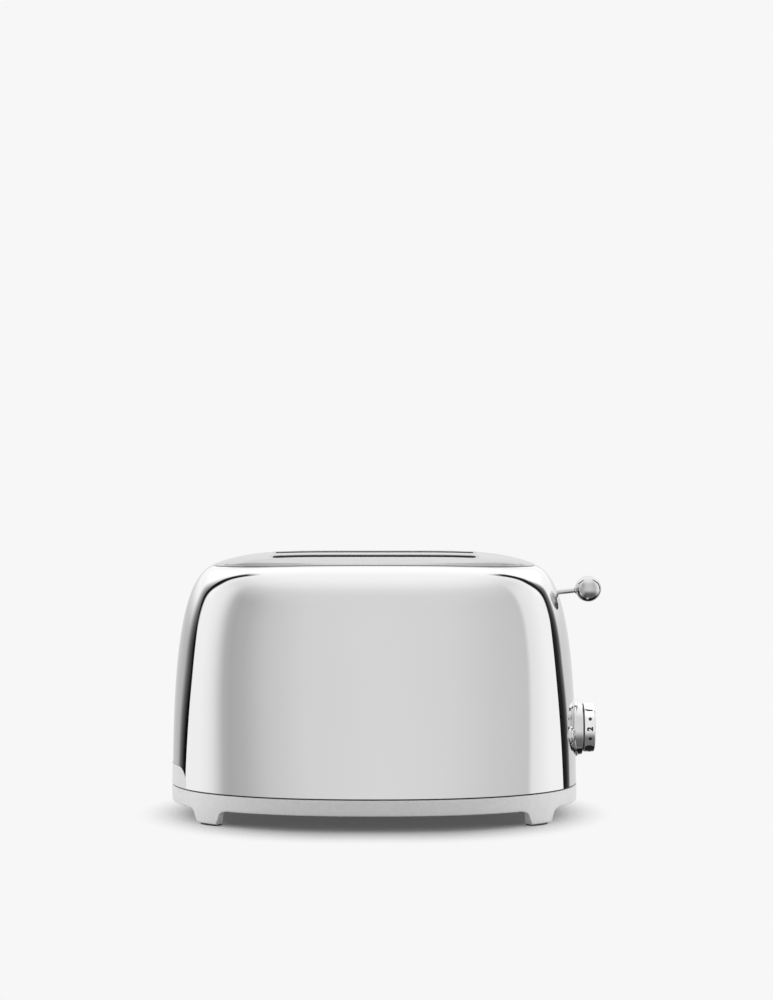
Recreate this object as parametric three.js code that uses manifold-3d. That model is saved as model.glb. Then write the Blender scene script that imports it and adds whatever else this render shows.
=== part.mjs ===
// A two-slice toaster with a pressed steel skin, in millimetres, +Z up.
// +X is the lever and dial end, -Y the front, and z = 0 the surface that it stands on.
import * as THREE from "three";
import { mergeVertices } from "three/addons/utils/BufferGeometryUtils.js";
import Module from "manifold-3d";

const wasm = await Module();
wasm.setup();

// Fits shared by all pieces
const GAP = 0.3;
const OVERRUN = 3;
const SHEET = 1.2;
const ROUND_SIDES = 20;
const SMALL_SIDES = 12;
const DIAL_SIDES = 32;
const BUTTON_SIDES = 14;

// Base and feet
const BASE_BOTTOM = 13;
const BASE_HEIGHT = 12.5;
const BASE_WALL = 3;
const BASE_EDGE_ROUND = 2;
const EDGE_ROUND_SHARE = 0.293;
const BASE_FLANGE_WIDTH = 12;
const BASE_FLANGE_THICKNESS = 2;
const BASE_TOP = BASE_BOTTOM + BASE_HEIGHT;
const FLANGE_TOP = BASE_BOTTOM + BASE_FLANGE_THICKNESS;
const COVER_BOTTOM = FLANGE_TOP + GAP;
const COVER_TOP = COVER_BOTTOM + SHEET;
const FLOOR = COVER_TOP + GAP;
const PAD_THICKNESS = 1.2;
const LEG_PLACE_SHARE = 0.812;
const LEG_TOP_HALF_WIDTH = 17;
const LEG_TOP_HALF_DEPTH = 8;
const LEG_END_HALF_WIDTH = 9.4;
const LEG_END_HALF_DEPTH = 5.6;
const LEG_SET_BACK = 0.6;
const PAD_INSET = 0.6;

// Bread slots
const SLOT_CENTRE = 27;
const SLOT_HALF_LENGTH = 72.5;
const SLOT_HALF_WIDTH = 15.5;
const COLLAR_WALL = 1.4;
const COLLAR_PROUD = 0.4;
const COLLAR_ROUND = 5;

// Bays between the slots and the skin's end, from the chassis plate outwards
const CHASSIS_MARGIN = 11.5;
const CHASSIS_X = SLOT_HALF_LENGTH + CHASSIS_MARGIN;
const BRACKET_BAY = 11;
const BRACKET_X = CHASSIS_X + BRACKET_BAY;
const ROD_REACH = 8;
const ROD_X = BRACKET_X + ROD_REACH;
const MAGNET_REACH = 4;
const MAGNET_X = ROD_X + MAGNET_REACH;
const COIL_RADIUS = 8.6;
const COIL_MARGIN = 1.9;
const BOARD_X = MAGNET_X + COIL_RADIUS + COIL_MARGIN;
const BOARD_THICKNESS = 1.6;
const DIAL_BAY = 29;

// Outer skin: half sizes at its foot and at its rim
const SKIN_SEAM = 0.5;
const SKIN_SET_BACK = 0.3;
const SKIN_WALL = 1;
const SKIN_FOOT = BASE_TOP + SKIN_SEAM;
const END_DRAW_IN = 29.6;
const SIDE_DRAW_IN = 36.6;
const RIM_MARGIN = 18.1;
const BASE_HALF_LENGTH = BOARD_X + DIAL_BAY;
const SKIN_FOOT_LENGTH = BASE_HALF_LENGTH - SKIN_SET_BACK;
const RIM_HALF_LENGTH = SKIN_FOOT_LENGTH - END_DRAW_IN;
const RIM_HALF_DEPTH = SLOT_CENTRE + SLOT_HALF_WIDTH + RIM_MARGIN;
const SKIN_FOOT_DEPTH = RIM_HALF_DEPTH + SIDE_DRAW_IN;
const BASE_HALF_DEPTH = SKIN_FOOT_DEPTH + SKIN_SET_BACK;
const RIM_FLANGE_WIDTH = 8;
const FOOT_EXPONENT = 2.25;
const RIM_EXPONENT = 2.5;
// Bezier points of the two upright profiles: share of the draw-in, share of the height
const END_PROFILE_SHARES = [[0, 0], [0.033, 0.445], [0.115, 0.942], [1, 1]];
const SIDE_PROFILE_SHARES = [[0, 0], [0.02, 0.404], [0.13, 0.959], [1, 1]];

// Dial
const DIAL_RISE = 36;
const DIAL_HEIGHT = SKIN_FOOT + DIAL_RISE;
const DIAL_RADIUS = 17.8;
const DIAL_LENGTH = 9.8;
const DIAL_ROUND = 1.4;
const DIAL_SHADOW_GAP = 0.5;
const BEZEL_MARGIN = 2.1;
const BEZEL_RING_RADIUS = DIAL_RADIUS + BEZEL_MARGIN;
const BEZEL_FLANGE_WIDTH = 1.05;
const BEZEL_FLANGE_RADIUS = BEZEL_RING_RADIUS + BEZEL_FLANGE_WIDTH;
const BEZEL_FLANGE_PROUD = 0.9;
const BEZEL_FLANGE_X = BASE_HALF_LENGTH + BEZEL_FLANGE_PROUD;
const BEZEL_RING_LENGTH = 3;
const BEZEL_FRONT_X = BEZEL_FLANGE_X + BEZEL_RING_LENGTH;
const SPIGOT_RADIUS = 7;
const SPIGOT_LENGTH = 8;
const SHAFT_RADIUS = 3;
const SHAFT_GRIP = 6;
const POT_RADIUS = 9;
const POT_LENGTH = 8;

// Lever, whose slot runs down to above the dial
const CARRIAGE_TRAVEL = 64;
const BALL_RADIUS = 9.1;
const BALL_REACH = 8.4;
const BALL_X = BASE_HALF_LENGTH + BALL_REACH;
const ARM_RADIUS = 1.5;
const ARM_SLOPE = 0.1157;
const ARM_INSET = 3;
const ARM_START = BRACKET_X + ARM_INSET;
const ARM_SEAT = 4;
const LEVER_SLOT_HALF = 3.2;
const LEVER_SLOT_MARGIN = 3.2;
const LEVER_SLOT_RISE = 9.49;
const LEVER_SLOT_BOTTOM = DIAL_HEIGHT + BEZEL_FLANGE_RADIUS + LEVER_SLOT_RISE;
const LEVER_SLOT_TOP =
  LEVER_SLOT_BOTTOM + CARRIAGE_TRAVEL + 2 * (LEVER_SLOT_MARGIN + ARM_SLOPE * BALL_RADIUS);
const BALL_HEIGHT = LEVER_SLOT_TOP - LEVER_SLOT_MARGIN + ARM_SLOPE * BALL_RADIUS;
const LUG_HALF = 3.4;
const LUG_LENGTH = 9;
const GUIDE_FRAME_WALL = 2;
const GUIDE_FRAME_WIDTH = 4;

// Rim and top plate
const BALL_DROP = 17.2;
const RIM_END_HEIGHT = BALL_HEIGHT + BALL_DROP;
const RIM_DIP = 3;
const RIM_SIDE_HEIGHT = RIM_END_HEIGHT + RIM_DIP;
const CROWN_RISE = 5.4;
const CROWN_HEIGHT = RIM_SIDE_HEIGHT + CROWN_RISE;
const PLATE_THICKNESS = 1.2;
const PLATE_EDGE = 1.4;
const PLATE_INSET = 0.6;
// How fast the plate falls away from its crown: towards the ends, and towards the long sides
const END_DOME_EXPONENT = 5;
const SIDE_DOME_EXPONENT = 8;
// Outline of the rings near the plate's middle, and how late the rings take on the rim's outline
const PLATE_MIDDLE_EXPONENT = 6;
const PLATE_OUTLINE_EXPONENT = 3;
const COLLAR_DROP = 9;
const COLLAR_BOTTOM = RIM_END_HEIGHT - COLLAR_DROP;

// Pressed crease round the front and back panels
const CREASE_WIDTH = 1.6;
const CREASE_DEPTH = 0.5;
const PANEL_RISE = 0.7;
const PANEL_START_SHARE = 0.5;
// Two Bezier curves: share of the skin's half length, share of the rim's side height
const CREASE_LOW_SHARES = [[0.918, 0], [0.903, 0.309], [0.879, 0.53], [0.852, 0.744]];
const CREASE_HIGH_SHARES = [[0.852, 0.744], [0.838, 0.864], [0.828, 0.97], [0.417, 0.975]];
const CREASE_FADE_SHARES = [0.42, 0.66];
const PANEL_FADE_SHARES = [0.78, 0.975];
const CREASE_STEPS = 24;
const HALVINGS = 40;
const STEP_SHARE = 1e-3;

// Crumb tray
const ARCH_HALF_WIDTH = 46;
const ARCH_ROUND = 11;
const TRAY_MARGIN = 4.2;
const TRAY_HALF_WIDTH = ARCH_HALF_WIDTH - TRAY_MARGIN;
const TRAY_BACK_MARGIN = 4;
const TRAY_BACK_X = CHASSIS_X - TRAY_BACK_MARGIN;
const TRAY_FRONT_DEPTH = 15.5;
const TRAY_FRONT_X = TRAY_FRONT_DEPTH - BASE_HALF_LENGTH;
const TRAY_WALL = 0.8;
const TRAY_HEIGHT = 6;
const TRAY_RISE = 1.3;
const TRAY_FLOOR = SKIN_FOOT + TRAY_RISE;
const ARCH_HEADROOM = 5;
const ARCH_TOP = TRAY_FLOOR + TRAY_HEIGHT + ARCH_HEADROOM;
const RAIL_WALL = 1.2;
const RAIL_LIP = 6;
const RAIL_SET_BACK = 3;
const NOTCH_MARGIN = 1.7;
const NOTCH_TOP = ARCH_TOP + NOTCH_MARGIN;

// Bread guides, heaters, reflectors and chassis plates, from the slots outwards
const GUIDE_MARGIN = 1.1;
const GUIDE_OFFSET = SLOT_HALF_WIDTH + GUIDE_MARGIN;
const GUIDE_BARS = 7;
const WIRE = 1.6;
const HEATER_REACH = 8.4;
const MICA = 0.8;
const MICA_OUTER_Y = SLOT_CENTRE + GUIDE_OFFSET + HEATER_REACH;
const MICA_INNER_Y = 3;
const MICA_TAB_SHARES = [0.2, 0.4, 0.6, 0.8];
const MICA_TAB_LENGTH = 4;
const RIBBON_WIDTH = 2.4;
const RIBBON_THICKNESS = 0.4;
const RIBBON_ROWS = 8;
const RIBBON_MARGIN = 8;
const REFLECTOR_REACH = 7;
const REFLECTOR_Y = MICA_OUTER_Y + REFLECTOR_REACH;
const REFLECTOR_LIP = 5;
const CHASSIS_EDGE = 3;
const CHASSIS_HALF_DEPTH = REFLECTOR_Y + CHASSIS_EDGE;
const SHOULDER_INSET = 14;
const CHASSIS_TOP_HALF_DEPTH = CHASSIS_HALF_DEPTH - SHOULDER_INSET;
const CHASSIS_HEADROOM = 8;
const CHASSIS_TOP = RIM_END_HEIGHT - CHASSIS_HEADROOM;
const SHOULDER_DROP = 24;
const CHASSIS_SHOULDER = CHASSIS_TOP - SHOULDER_DROP;
const REFLECTOR_RISE = 2;
const REFLECTOR_BOTTOM = NOTCH_TOP + REFLECTOR_RISE;
const REFLECTOR_OVERLAP = 4;
const REFLECTOR_TOP = CHASSIS_SHOULDER + REFLECTOR_OVERLAP;
const MICA_EDGE = 4;
const MICA_BOTTOM = NOTCH_TOP + MICA_EDGE;
const MICA_TOP = CHASSIS_TOP - MICA_EDGE;
const GUIDE_RISE = 6;
const GUIDE_BOTTOM = NOTCH_TOP + GUIDE_RISE;
const GUIDE_DROP = 2;
const GUIDE_TOP = COLLAR_BOTTOM - GUIDE_DROP;

// Bread carriage
const RACK_CLEARANCE = 1.7;
const RACK_HEIGHT = 5;
const RACK_TOP = TRAY_FLOOR + TRAY_HEIGHT + RACK_CLEARANCE + CARRIAGE_TRAVEL + RACK_HEIGHT;
const RACK_THICKNESS = 2;
const RACK_PRONG_HALF = 6.5;
const RACK_PRONG = 2;
const RACK_PRONGS = 8;
const RACK_SPREAD = 3.5;
const RACK_HALF_LENGTH = SLOT_HALF_LENGTH + RACK_SPREAD;
const RACK_END = 5;
const RACK_SLIT_MARGIN = 0.45;
const RACK_SLIT_END = 3;
const BRACKET_THICKNESS = 2;
const BRACKET_EDGE = 6;
const BRACKET_HALF_DEPTH = SLOT_CENTRE + BRACKET_EDGE;
const BRACKET_HEIGHT = 11;
const BRACKET_DROP = 8;
const BRACKET_BOTTOM = RACK_TOP - BRACKET_DROP;
const SPINE_HALF_WIDTH = 6;
const LUG_MIDDLE = BALL_HEIGHT - ARM_SLOPE * (BALL_X - BRACKET_X - LUG_LENGTH / 2);
const SPINE_TOP = LUG_MIDDLE + LUG_LENGTH / 2;
const ROD_Y = 16;
const ROD_RADIUS = 2.5;
const ROD_END = 1.2;
const BUSH_HALF = 4.5;
const BUSH_HEIGHT = 16;
const SHELF_EDGE = 8;
const SHELF_HALF_DEPTH = ROD_Y + SHELF_EDGE;
const SHELF_MARGIN = 5.2;
const SHELF_END = MAGNET_X + SHELF_MARGIN;
const SHELF_RISE = 2;
const SHELF_LOW = SKIN_FOOT + SHELF_RISE;
const SHELF_DROP = 13;
const SHELF_HIGH = RIM_END_HEIGHT - SHELF_DROP;
const LATCH_RISE = 14;
const LATCH_HEIGHT = RACK_TOP + LATCH_RISE;
const LATCH_THICKNESS = 2;
const LATCH_LENGTH = 17;
const LATCH_HALF_WIDTH = 8;
const SPRING_BOTTOM = RACK_TOP + BRACKET_HEIGHT;
const SPRING_REACH = 4.5;
const SPRING_X = BRACKET_X - SPRING_REACH;
const SPRING_RADIUS = 3;
const SPRING_WIRE = 0.9;
const SPRING_TURNS = 8;
const SPRING_STEPS = 6;
const SPRING_TAB = 1.5;

// Magnet
const CORE_RADIUS = 4.2;
const CORE_HEAD_RADIUS = 6.6;
const CORE_HEAD_THICKNESS = 2;

// Push buttons
const BUTTON_Y = 29.5;
const BUTTON_DROP = 2.5;
const BUTTON_HEIGHT = DIAL_HEIGHT - BUTTON_DROP;
const BUTTON_RADIUS = 4.8;
const BUTTON_PROUD = 2.4;
const BUTTON_TRAVEL = 2;
const BUTTON_LENGTH = 9;
const BUTTON_CHAMFER = 1;
const BUTTON_SLEEVE_WALL = 1.1;
const BUTTON_SLEEVE_RADIUS = BUTTON_RADIUS + BUTTON_SLEEVE_WALL;
const BUTTON_SLEEVE_LENGTH = 5;
const BUTTON_FLANGE_WIDTH = 0.8;
const BUTTON_FLANGE_RADIUS = BUTTON_SLEEVE_RADIUS + BUTTON_FLANGE_WIDTH;
const BUTTON_BEZEL_PROUD = 1;

// Circuit board and what is on it
const BOARD_EDGE = 14.5;
const BOARD_HALF_DEPTH = BUTTON_Y + BOARD_EDGE;
const BOARD_RISE = 26;
const BOARD_TOP = DIAL_HEIGHT + BOARD_RISE;
const SWITCH_INSET = 3;
const SWITCH_Y = BUTTON_Y - SWITCH_INSET;
const SWITCH_HALF = 4.5;
const SWITCH_LENGTH = 10;
const PLUNGER_RADIUS = 1.5;
const PLUNGER_MARGIN = 1.2;
const RELAY_HALF_DEPTH = 12;
const RELAY_LENGTH = 10;
const RELAY_HEIGHT = 12;
const CAPACITOR_RADIUS = 4.5;
const CAPACITOR_LENGTH = 10;
const CAPACITOR_Y = 26;
const CAPACITOR_RISE = 10;

// Mains entry and fasteners
const GLAND_RADIUS = 3.4;
const GLAND_BORE = 2.2;
const GLAND_RISE = 7.4;
const GLAND_HEIGHT = BASE_BOTTOM + GLAND_RISE;
const GLAND_LENGTH = 14;
const BLOCK_LENGTH = 26;
const BLOCK_DEPTH = 12;
const BLOCK_HEIGHT = 10;
const BLOCK_MARGIN = 3;
const SCREW_RADIUS = 1.5;
const SCREW_HEAD_RADIUS = 3.2;
const SCREW_SEAT_GAP = 0.45;
const SCREW_LENGTH = 7;
const SCREW_INSET = 8;
const SCREW_ANGLE = 1.2;
const VENT_COUNT = 7;
const VENT_HALF_LENGTH = 24;
const VENT_HALF_WIDTH = 1.6;
const VENT_PITCH = 9;

// Colours and finishes
const finish = (color, roughness, metalness) =>
  new THREE.MeshStandardMaterial({ color, roughness, metalness });
const CHROME = 0xd9dadb;
const STEEL = 0xb9bbbd;
const SATIN = 0xc9cacb;
const DARK = 0x2b2c2e;
const MICA_COLOUR = 0xb59a72;
const BOARD_GREEN = 0x2f6b45;
const COPPER = 0xb06a3a;

const mix = (a, b, share) => a + (b - a) * share;
const clamp = (value) => Math.min(1, Math.max(0, value));
const smooth = (from, to, value) => THREE.MathUtils.smoothstep(value, from, to);

// One coordinate of a cubic Bezier curve.
function cubic(values, t) {
  const s = 1 - t;
  const [a, b, c, d] = values;
  return a * s ** 3 + 3 * b * s * s * t + 3 * c * s * t * t + d * t ** 3;
}

// Point of a superellipse, at an angle that is counted from +X.
function outline(halfLength, halfDepth, exponent, angle) {
  const c = Math.cos(angle);
  const s = Math.sin(angle);
  const power = 2 / exponent;
  return new THREE.Vector2(
    halfLength * Math.sign(c) * Math.abs(c) ** power,
    halfDepth * Math.sign(s) * Math.abs(s) ** power,
  );
}

// Outward direction of the superellipse at one of its points.
function outlineNormal(halfLength, halfDepth, exponent, point) {
  const slope = (value, half) =>
    (Math.sign(value) * Math.abs(value / half) ** (exponent - 1)) / half;
  return new THREE.Vector2(slope(point.x, halfLength), slope(point.y, halfDepth)).normalize();
}

// Solid between rings of points; the last ring joins the first, or both ends are capped.
function ringSolid(rings, looped) {
  const count = rings[0].length;
  const positions = rings.flat().flatMap((p) => [p.x, p.y, p.z]);
  const faces = [];
  const steps = looped ? rings.length : rings.length - 1;
  for (let i = 0; i < steps; i++) {
    const low = i * count;
    const high = ((i + 1) % rings.length) * count;
    for (let j = 0; j < count; j++) {
      const next = (j + 1) % count;
      faces.push(low + j, low + next, high + next, low + j, high + next, high + j);
    }
  }
  if (!looped) {
    for (const [ring, first, up] of [[rings[0], 0, false], [rings.at(-1), steps * count, true]]) {
      const middle = new THREE.Vector3();
      ring.forEach((p) => middle.add(p));
      middle.divideScalar(count);
      const hub = positions.length / 3;
      positions.push(middle.x, middle.y, middle.z);
      for (let j = 0; j < count; j++) {
        const a = first + j;
        const b = first + ((j + 1) % count);
        faces.push(hub, up ? a : b, up ? b : a);
      }
    }
  }
  return new THREE.BufferGeometry()
    .setAttribute("position", new THREE.Float32BufferAttribute(positions, 3))
    .setIndex(faces);
}

function solidOf(geometry) {
  const plain = geometry.clone();
  plain.deleteAttribute("normal");
  plain.deleteAttribute("uv");
  const merged = mergeVertices(plain, 1e-4);
  return new wasm.Manifold(
    new wasm.Mesh({
      numProp: 3,
      vertProperties: merged.attributes.position.array,
      triVerts: new Uint32Array(merged.index.array),
    }),
  );
}

function geometryOf(solid) {
  const made = solid.getMesh();
  return new THREE.BufferGeometry()
    .setAttribute("position", new THREE.BufferAttribute(made.vertProperties, 3))
    .setIndex(new THREE.BufferAttribute(made.triVerts, 1));
}

const join = (...pieces) => geometryOf(pieces.map(solidOf).reduce((a, b) => a.add(b)));
const cut = (piece, ...tools) =>
  geometryOf(tools.map(solidOf).reduce((a, b) => a.subtract(b), solidOf(piece)));
const common = (a, b) => geometryOf(solidOf(a).intersect(solidOf(b)));

// Box between two corners.
function block(x0, x1, y0, y1, z0, z1) {
  return new THREE.BoxGeometry(x1 - x0, y1 - y0, z1 - z0)
    .translate((x0 + x1) / 2, (y0 + y1) / 2, (z0 + z1) / 2);
}

// Upright round bar between two heights.
function bar(radius, x, y, z0, z1, sides = SMALL_SIDES) {
  return new THREE.CylinderGeometry(radius, radius, z1 - z0, sides)
    .rotateX(Math.PI / 2)
    .translate(x, y, (z0 + z1) / 2);
}

// Round bar along X between two places.
function barAlong(radius, x0, x1, sides = ROUND_SIDES) {
  return new THREE.CylinderGeometry(radius, radius, x1 - x0, sides)
    .rotateZ(-Math.PI / 2)
    .translate((x0 + x1) / 2, 0, 0);
}

// Solid of revolution about X; its profile of [x, radius] runs outwards first and then towards +X.
function turned(profile, sides = ROUND_SIDES) {
  const closed = profile[0][1] > 0 ? [...profile, profile[0]] : profile;
  const points = closed.map(([x, radius]) => new THREE.Vector2(radius, x));
  return new THREE.LatheGeometry(points, sides).rotateZ(-Math.PI / 2);
}

// Sheet of a flat outline of [y, z], between two X values.
function sheetAcross(points, x0, x1) {
  const shape = new THREE.Shape(points.map(([y, z]) => new THREE.Vector2(y, z)));
  return new THREE.ExtrudeGeometry(shape, { depth: x1 - x0, bevelEnabled: false })
    .rotateX(Math.PI / 2)
    .rotateZ(Math.PI / 2)
    .translate(x0, 0, 0);
}

// Sheet of a flat outline of [x, z], between two Y values.
function sheetAlong(points, y0, y1) {
  const shape = new THREE.Shape(points.map(([x, z]) => new THREE.Vector2(x, z)));
  return new THREE.ExtrudeGeometry(shape, { depth: y1 - y0, bevelEnabled: false })
    .rotateX(Math.PI / 2)
    .translate(0, y1, 0);
}

// The skin: heights and half sizes of its ring at a share t of the way from foot to rim.
function skinRing(t) {
  const along = (shares, low, high, column) =>
    cubic(shares.map((pair) => mix(low, high, pair[column])), t);
  return {
    length: along(END_PROFILE_SHARES, SKIN_FOOT_LENGTH, RIM_HALF_LENGTH, 0),
    depth: along(SIDE_PROFILE_SHARES, SKIN_FOOT_DEPTH, RIM_HALF_DEPTH, 0),
    endHeight: along(END_PROFILE_SHARES, SKIN_FOOT, RIM_END_HEIGHT, 1),
    sideHeight: along(SIDE_PROFILE_SHARES, SKIN_FOOT, RIM_SIDE_HEIGHT, 1),
    exponent: mix(FOOT_EXPONENT, RIM_EXPONENT, t),
  };
}

function skinPoint(t, angle) {
  const ring = skinRing(t);
  const flat = outline(ring.length, ring.depth, ring.exponent, angle);
  const height = mix(ring.endHeight, ring.sideHeight, Math.sin(angle) ** 2);
  return new THREE.Vector3(flat.x, flat.y, height);
}

// Outward direction of the skin, from its neighbours along the ring and up the profile.
function skinNormal(t, angle) {
  const step = STEP_SHARE;
  const around = skinPoint(t, angle + step).sub(skinPoint(t, angle - step));
  const low = Math.max(0, t - step);
  const high = Math.min(1, t + step);
  const up = skinPoint(high, angle).sub(skinPoint(low, angle));
  return around.cross(up).normalize();
}

// Half width of the crease arch at a height, from its two curves.
const creaseTrack = [CREASE_LOW_SHARES, CREASE_HIGH_SHARES].flatMap((shares) =>
  Array.from({ length: CREASE_STEPS + 1 }, (_, i) => [0, 1].map((column) =>
    cubic(shares.map((pair) => pair[column]), i / CREASE_STEPS))));

function creaseHalf(height) {
  const share = clamp((height - SKIN_FOOT) / (RIM_SIDE_HEIGHT - SKIN_FOOT));
  const above = creaseTrack.findIndex((pair) => pair[1] >= share);
  if (above < 0) return creaseTrack.at(-1)[0] * SKIN_FOOT_LENGTH;
  if (above === 0) return creaseTrack[0][0] * SKIN_FOOT_LENGTH;
  const [x0, z0] = creaseTrack[above - 1];
  const [x1, z1] = creaseTrack[above];
  return mix(x0, x1, z1 > z0 ? (share - z0) / (z1 - z0) : 1) * SKIN_FOOT_LENGTH;
}

// How far the pressing lifts the skin off its plain form at a point.
function pressing(point) {
  const inside = creaseHalf(point.z) - Math.abs(point.x);
  const across = clamp(inside / CREASE_WIDTH);
  const [soft, sharp] = CREASE_FADE_SHARES.map((share) => share * SKIN_FOOT_LENGTH);
  const [low, high] = PANEL_FADE_SHARES.map((share) => mix(SKIN_FOOT, RIM_SIDE_HEIGHT, share));
  const strength = mix(1 - smooth(low, high, point.z), 1, smooth(soft, sharp, Math.abs(point.x)));
  const groove = -CREASE_DEPTH * (1 - Math.abs(2 * across - 1));
  const panel = PANEL_RISE * smooth(PANEL_START_SHARE, 1, across);
  return strength * (panel + groove);
}

// Angle on the ring of t at which the skin is a given distance inside the crease.
function creaseAngle(t, inside) {
  let low = 0;
  let high = Math.PI / 2;
  for (let i = 0; i < HALVINGS; i++) {
    const middle = (low + high) / 2;
    const point = skinPoint(t, middle);
    if (point.x > creaseHalf(point.z) - inside) low = middle;
    else high = middle;
  }
  return low;
}

const BAND_COLUMNS = 4;
const PANEL_COLUMNS = 7;
const SKIN_ROWS = [
  0, 0.1, 0.22, 0.34, 0.46, 0.57, 0.66, 0.73, 0.79, 0.84, 0.88, 0.91, 0.935, 0.965, 1,
];
const INNER_ROWS = [0, 0.22, 0.46, 0.66, 0.79, 0.88, 0.935, 1];

// Angles of one ring: each quarter has its band, its crease and its share of the panel.
function skinAngles(t) {
  const crease = [0, CREASE_WIDTH / 2, CREASE_WIDTH].map((inside) => creaseAngle(t, inside));
  const quarter = [];
  for (let i = 0; i < BAND_COLUMNS; i++) quarter.push((crease[0] * i) / BAND_COLUMNS);
  quarter.push(...crease.slice(0, 2));
  for (let i = 0; i < PANEL_COLUMNS; i++)
    quarter.push(mix(crease[2], Math.PI / 2, i / PANEL_COLUMNS));
  const half = [...quarter, Math.PI / 2, ...quarter.slice(1).reverse().map((a) => Math.PI - a)];
  return [...half, ...half.map((a) => a + Math.PI)];
}

// One ring of the pressed skin, moved out along its normals.
function skinLoop(t, offset) {
  return skinAngles(t).map((angle) => {
    const point = skinPoint(t, angle);
    return point.addScaledVector(skinNormal(t, angle), offset + pressing(point));
  });
}

// The rim's flat inner flange: a ring drawn in from the rim, at a depth under it.
function flangeLoop(inset, depth) {
  return skinAngles(1).map((angle) => {
    const flat = outline(RIM_HALF_LENGTH - inset, RIM_HALF_DEPTH - inset, RIM_EXPONENT, angle);
    return new THREE.Vector3(flat.x, flat.y, skinPoint(1, angle).z - depth);
  });
}

// Everything inside the skin's outer or inner face as one solid, for cutting pieces to its form.
function skinBlock(offset) {
  const rows = offset < 0 ? INNER_ROWS : SKIN_ROWS;
  return ringSolid(rows.map((t) => skinLoop(t, offset)), false);
}

// Arch-shaped prism of the crumb tray's opening, at the -X end.
function archBlock(x0, x1, clearance, low) {
  const half = ARCH_HALF_WIDTH + clearance;
  const top = ARCH_TOP + clearance;
  const shape = new THREE.Shape();
  shape.moveTo(-half, low);
  shape.lineTo(half, low);
  shape.absarc(half - ARCH_ROUND, top - ARCH_ROUND, ARCH_ROUND, 0, Math.PI / 2);
  shape.absarc(ARCH_ROUND - half, top - ARCH_ROUND, ARCH_ROUND, Math.PI / 2, Math.PI);
  shape.closePath();
  return new THREE.ExtrudeGeometry(shape, { depth: x1 - x0, bevelEnabled: false, curveSegments: 5 })
    .rotateX(Math.PI / 2)
    .rotateZ(Math.PI / 2)
    .translate(x0, 0, 0);
}

// Where a button meets the skin, and which way the skin faces there.
function buttonSeat(side) {
  let t = 0;
  while (skinPoint(t, 0).z < BUTTON_HEIGHT) t += STEP_SHARE;
  let angle = 0;
  while (skinPoint(t, angle).y < BUTTON_Y) angle += STEP_SHARE;
  const point = skinPoint(t, angle);
  const normal = skinNormal(t, angle).setZ(0).normalize();
  return { x: point.x, y: side * BUTTON_Y, turn: side * Math.atan2(normal.y, normal.x) };
}

// Turned profile set at a button's seat and facing as the skin does there.
const atButton = (geometry, seat) =>
  geometry.rotateZ(seat.turn).translate(seat.x, seat.y, BUTTON_HEIGHT);

const BUTTON_SEATS = { front: buttonSeat(-1), rear: buttonSeat(1) };

// Upright slot with round ends, which the lever's arm runs through.
function leverSlot(half) {
  const low = LEVER_SLOT_BOTTOM + LEVER_SLOT_HALF;
  const high = LEVER_SLOT_TOP - LEVER_SLOT_HALF;
  const ends = [low, high].map((z) => barAlong(half, ROD_X, BALL_X, SMALL_SIDES).translate(0, 0, z));
  return join(block(ROD_X, BALL_X, -half, half, low, high), ...ends);
}

function bodyShell() {
  const outer = SKIN_ROWS.map((t) => skinLoop(t, 0));
  const flange = [flangeLoop(RIM_FLANGE_WIDTH, 0), flangeLoop(RIM_FLANGE_WIDTH, SKIN_WALL)];
  const inner = INNER_ROWS.map((t) => skinLoop(t, -SKIN_WALL)).reverse();
  const dialHole = barAlong(SPIGOT_RADIUS + GAP, BOARD_X, BALL_X).translate(0, 0, DIAL_HEIGHT);
  const buttonHoles = Object.values(BUTTON_SEATS).map((seat) =>
    atButton(barAlong(BUTTON_SLEEVE_RADIUS + GAP, -BUTTON_LENGTH, BUTTON_LENGTH, BUTTON_SIDES), seat));
  const trayNotch = archBlock(-BASE_HALF_LENGTH - OVERRUN, -CHASSIS_X, GAP, BASE_BOTTOM);
  const solid = ringSolid([...outer, ...flange, ...inner], true);
  return cut(solid, leverSlot(LEVER_SLOT_HALF), dialHole, ...buttonHoles, trayNotch);
}

const BASE_COLUMNS = 48;

// Ring drawn in from the base's outline at one height.
function baseLoop(inset, height) {
  return Array.from({ length: BASE_COLUMNS }, (_, i) => {
    const angle = (2 * Math.PI * i) / BASE_COLUMNS;
    const flat = outline(BASE_HALF_LENGTH - inset, BASE_HALF_DEPTH - inset, FOOT_EXPONENT, angle);
    return new THREE.Vector3(flat.x, flat.y, height);
  });
}

// Place and direction of each foot: on the base's outline near its four corners.
function footSeat(xSide, ySide) {
  let angle = 0;
  const limit = LEG_PLACE_SHARE * BASE_HALF_LENGTH;
  while (outline(BASE_HALF_LENGTH, BASE_HALF_DEPTH, FOOT_EXPONENT, angle).x > limit)
    angle += STEP_SHARE;
  const point = outline(BASE_HALF_LENGTH, BASE_HALF_DEPTH, FOOT_EXPONENT, angle);
  const normal = outlineNormal(BASE_HALF_LENGTH, BASE_HALF_DEPTH, FOOT_EXPONENT, point);
  return {
    point: point.multiply(new THREE.Vector2(xSide, ySide)),
    normal: normal.multiply(new THREE.Vector2(xSide, ySide)),
  };
}

// Oval section of a foot: half sizes along and across the base's edge, set back from it.
function footLoop(seat, halfWidth, halfDepth, setBack, height) {
  const turn = Math.atan2(seat.normal.y, seat.normal.x);
  const centre = seat.point.clone().addScaledVector(seat.normal, -setBack - halfDepth);
  return Array.from({ length: ROUND_SIDES }, (_, i) => {
    const flat = outline(halfDepth, halfWidth, RIM_EXPONENT, (2 * Math.PI * i) / ROUND_SIDES)
      .rotateAround(new THREE.Vector2(), turn);
    return new THREE.Vector3(centre.x + flat.x, centre.y + flat.y, height);
  });
}

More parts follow.
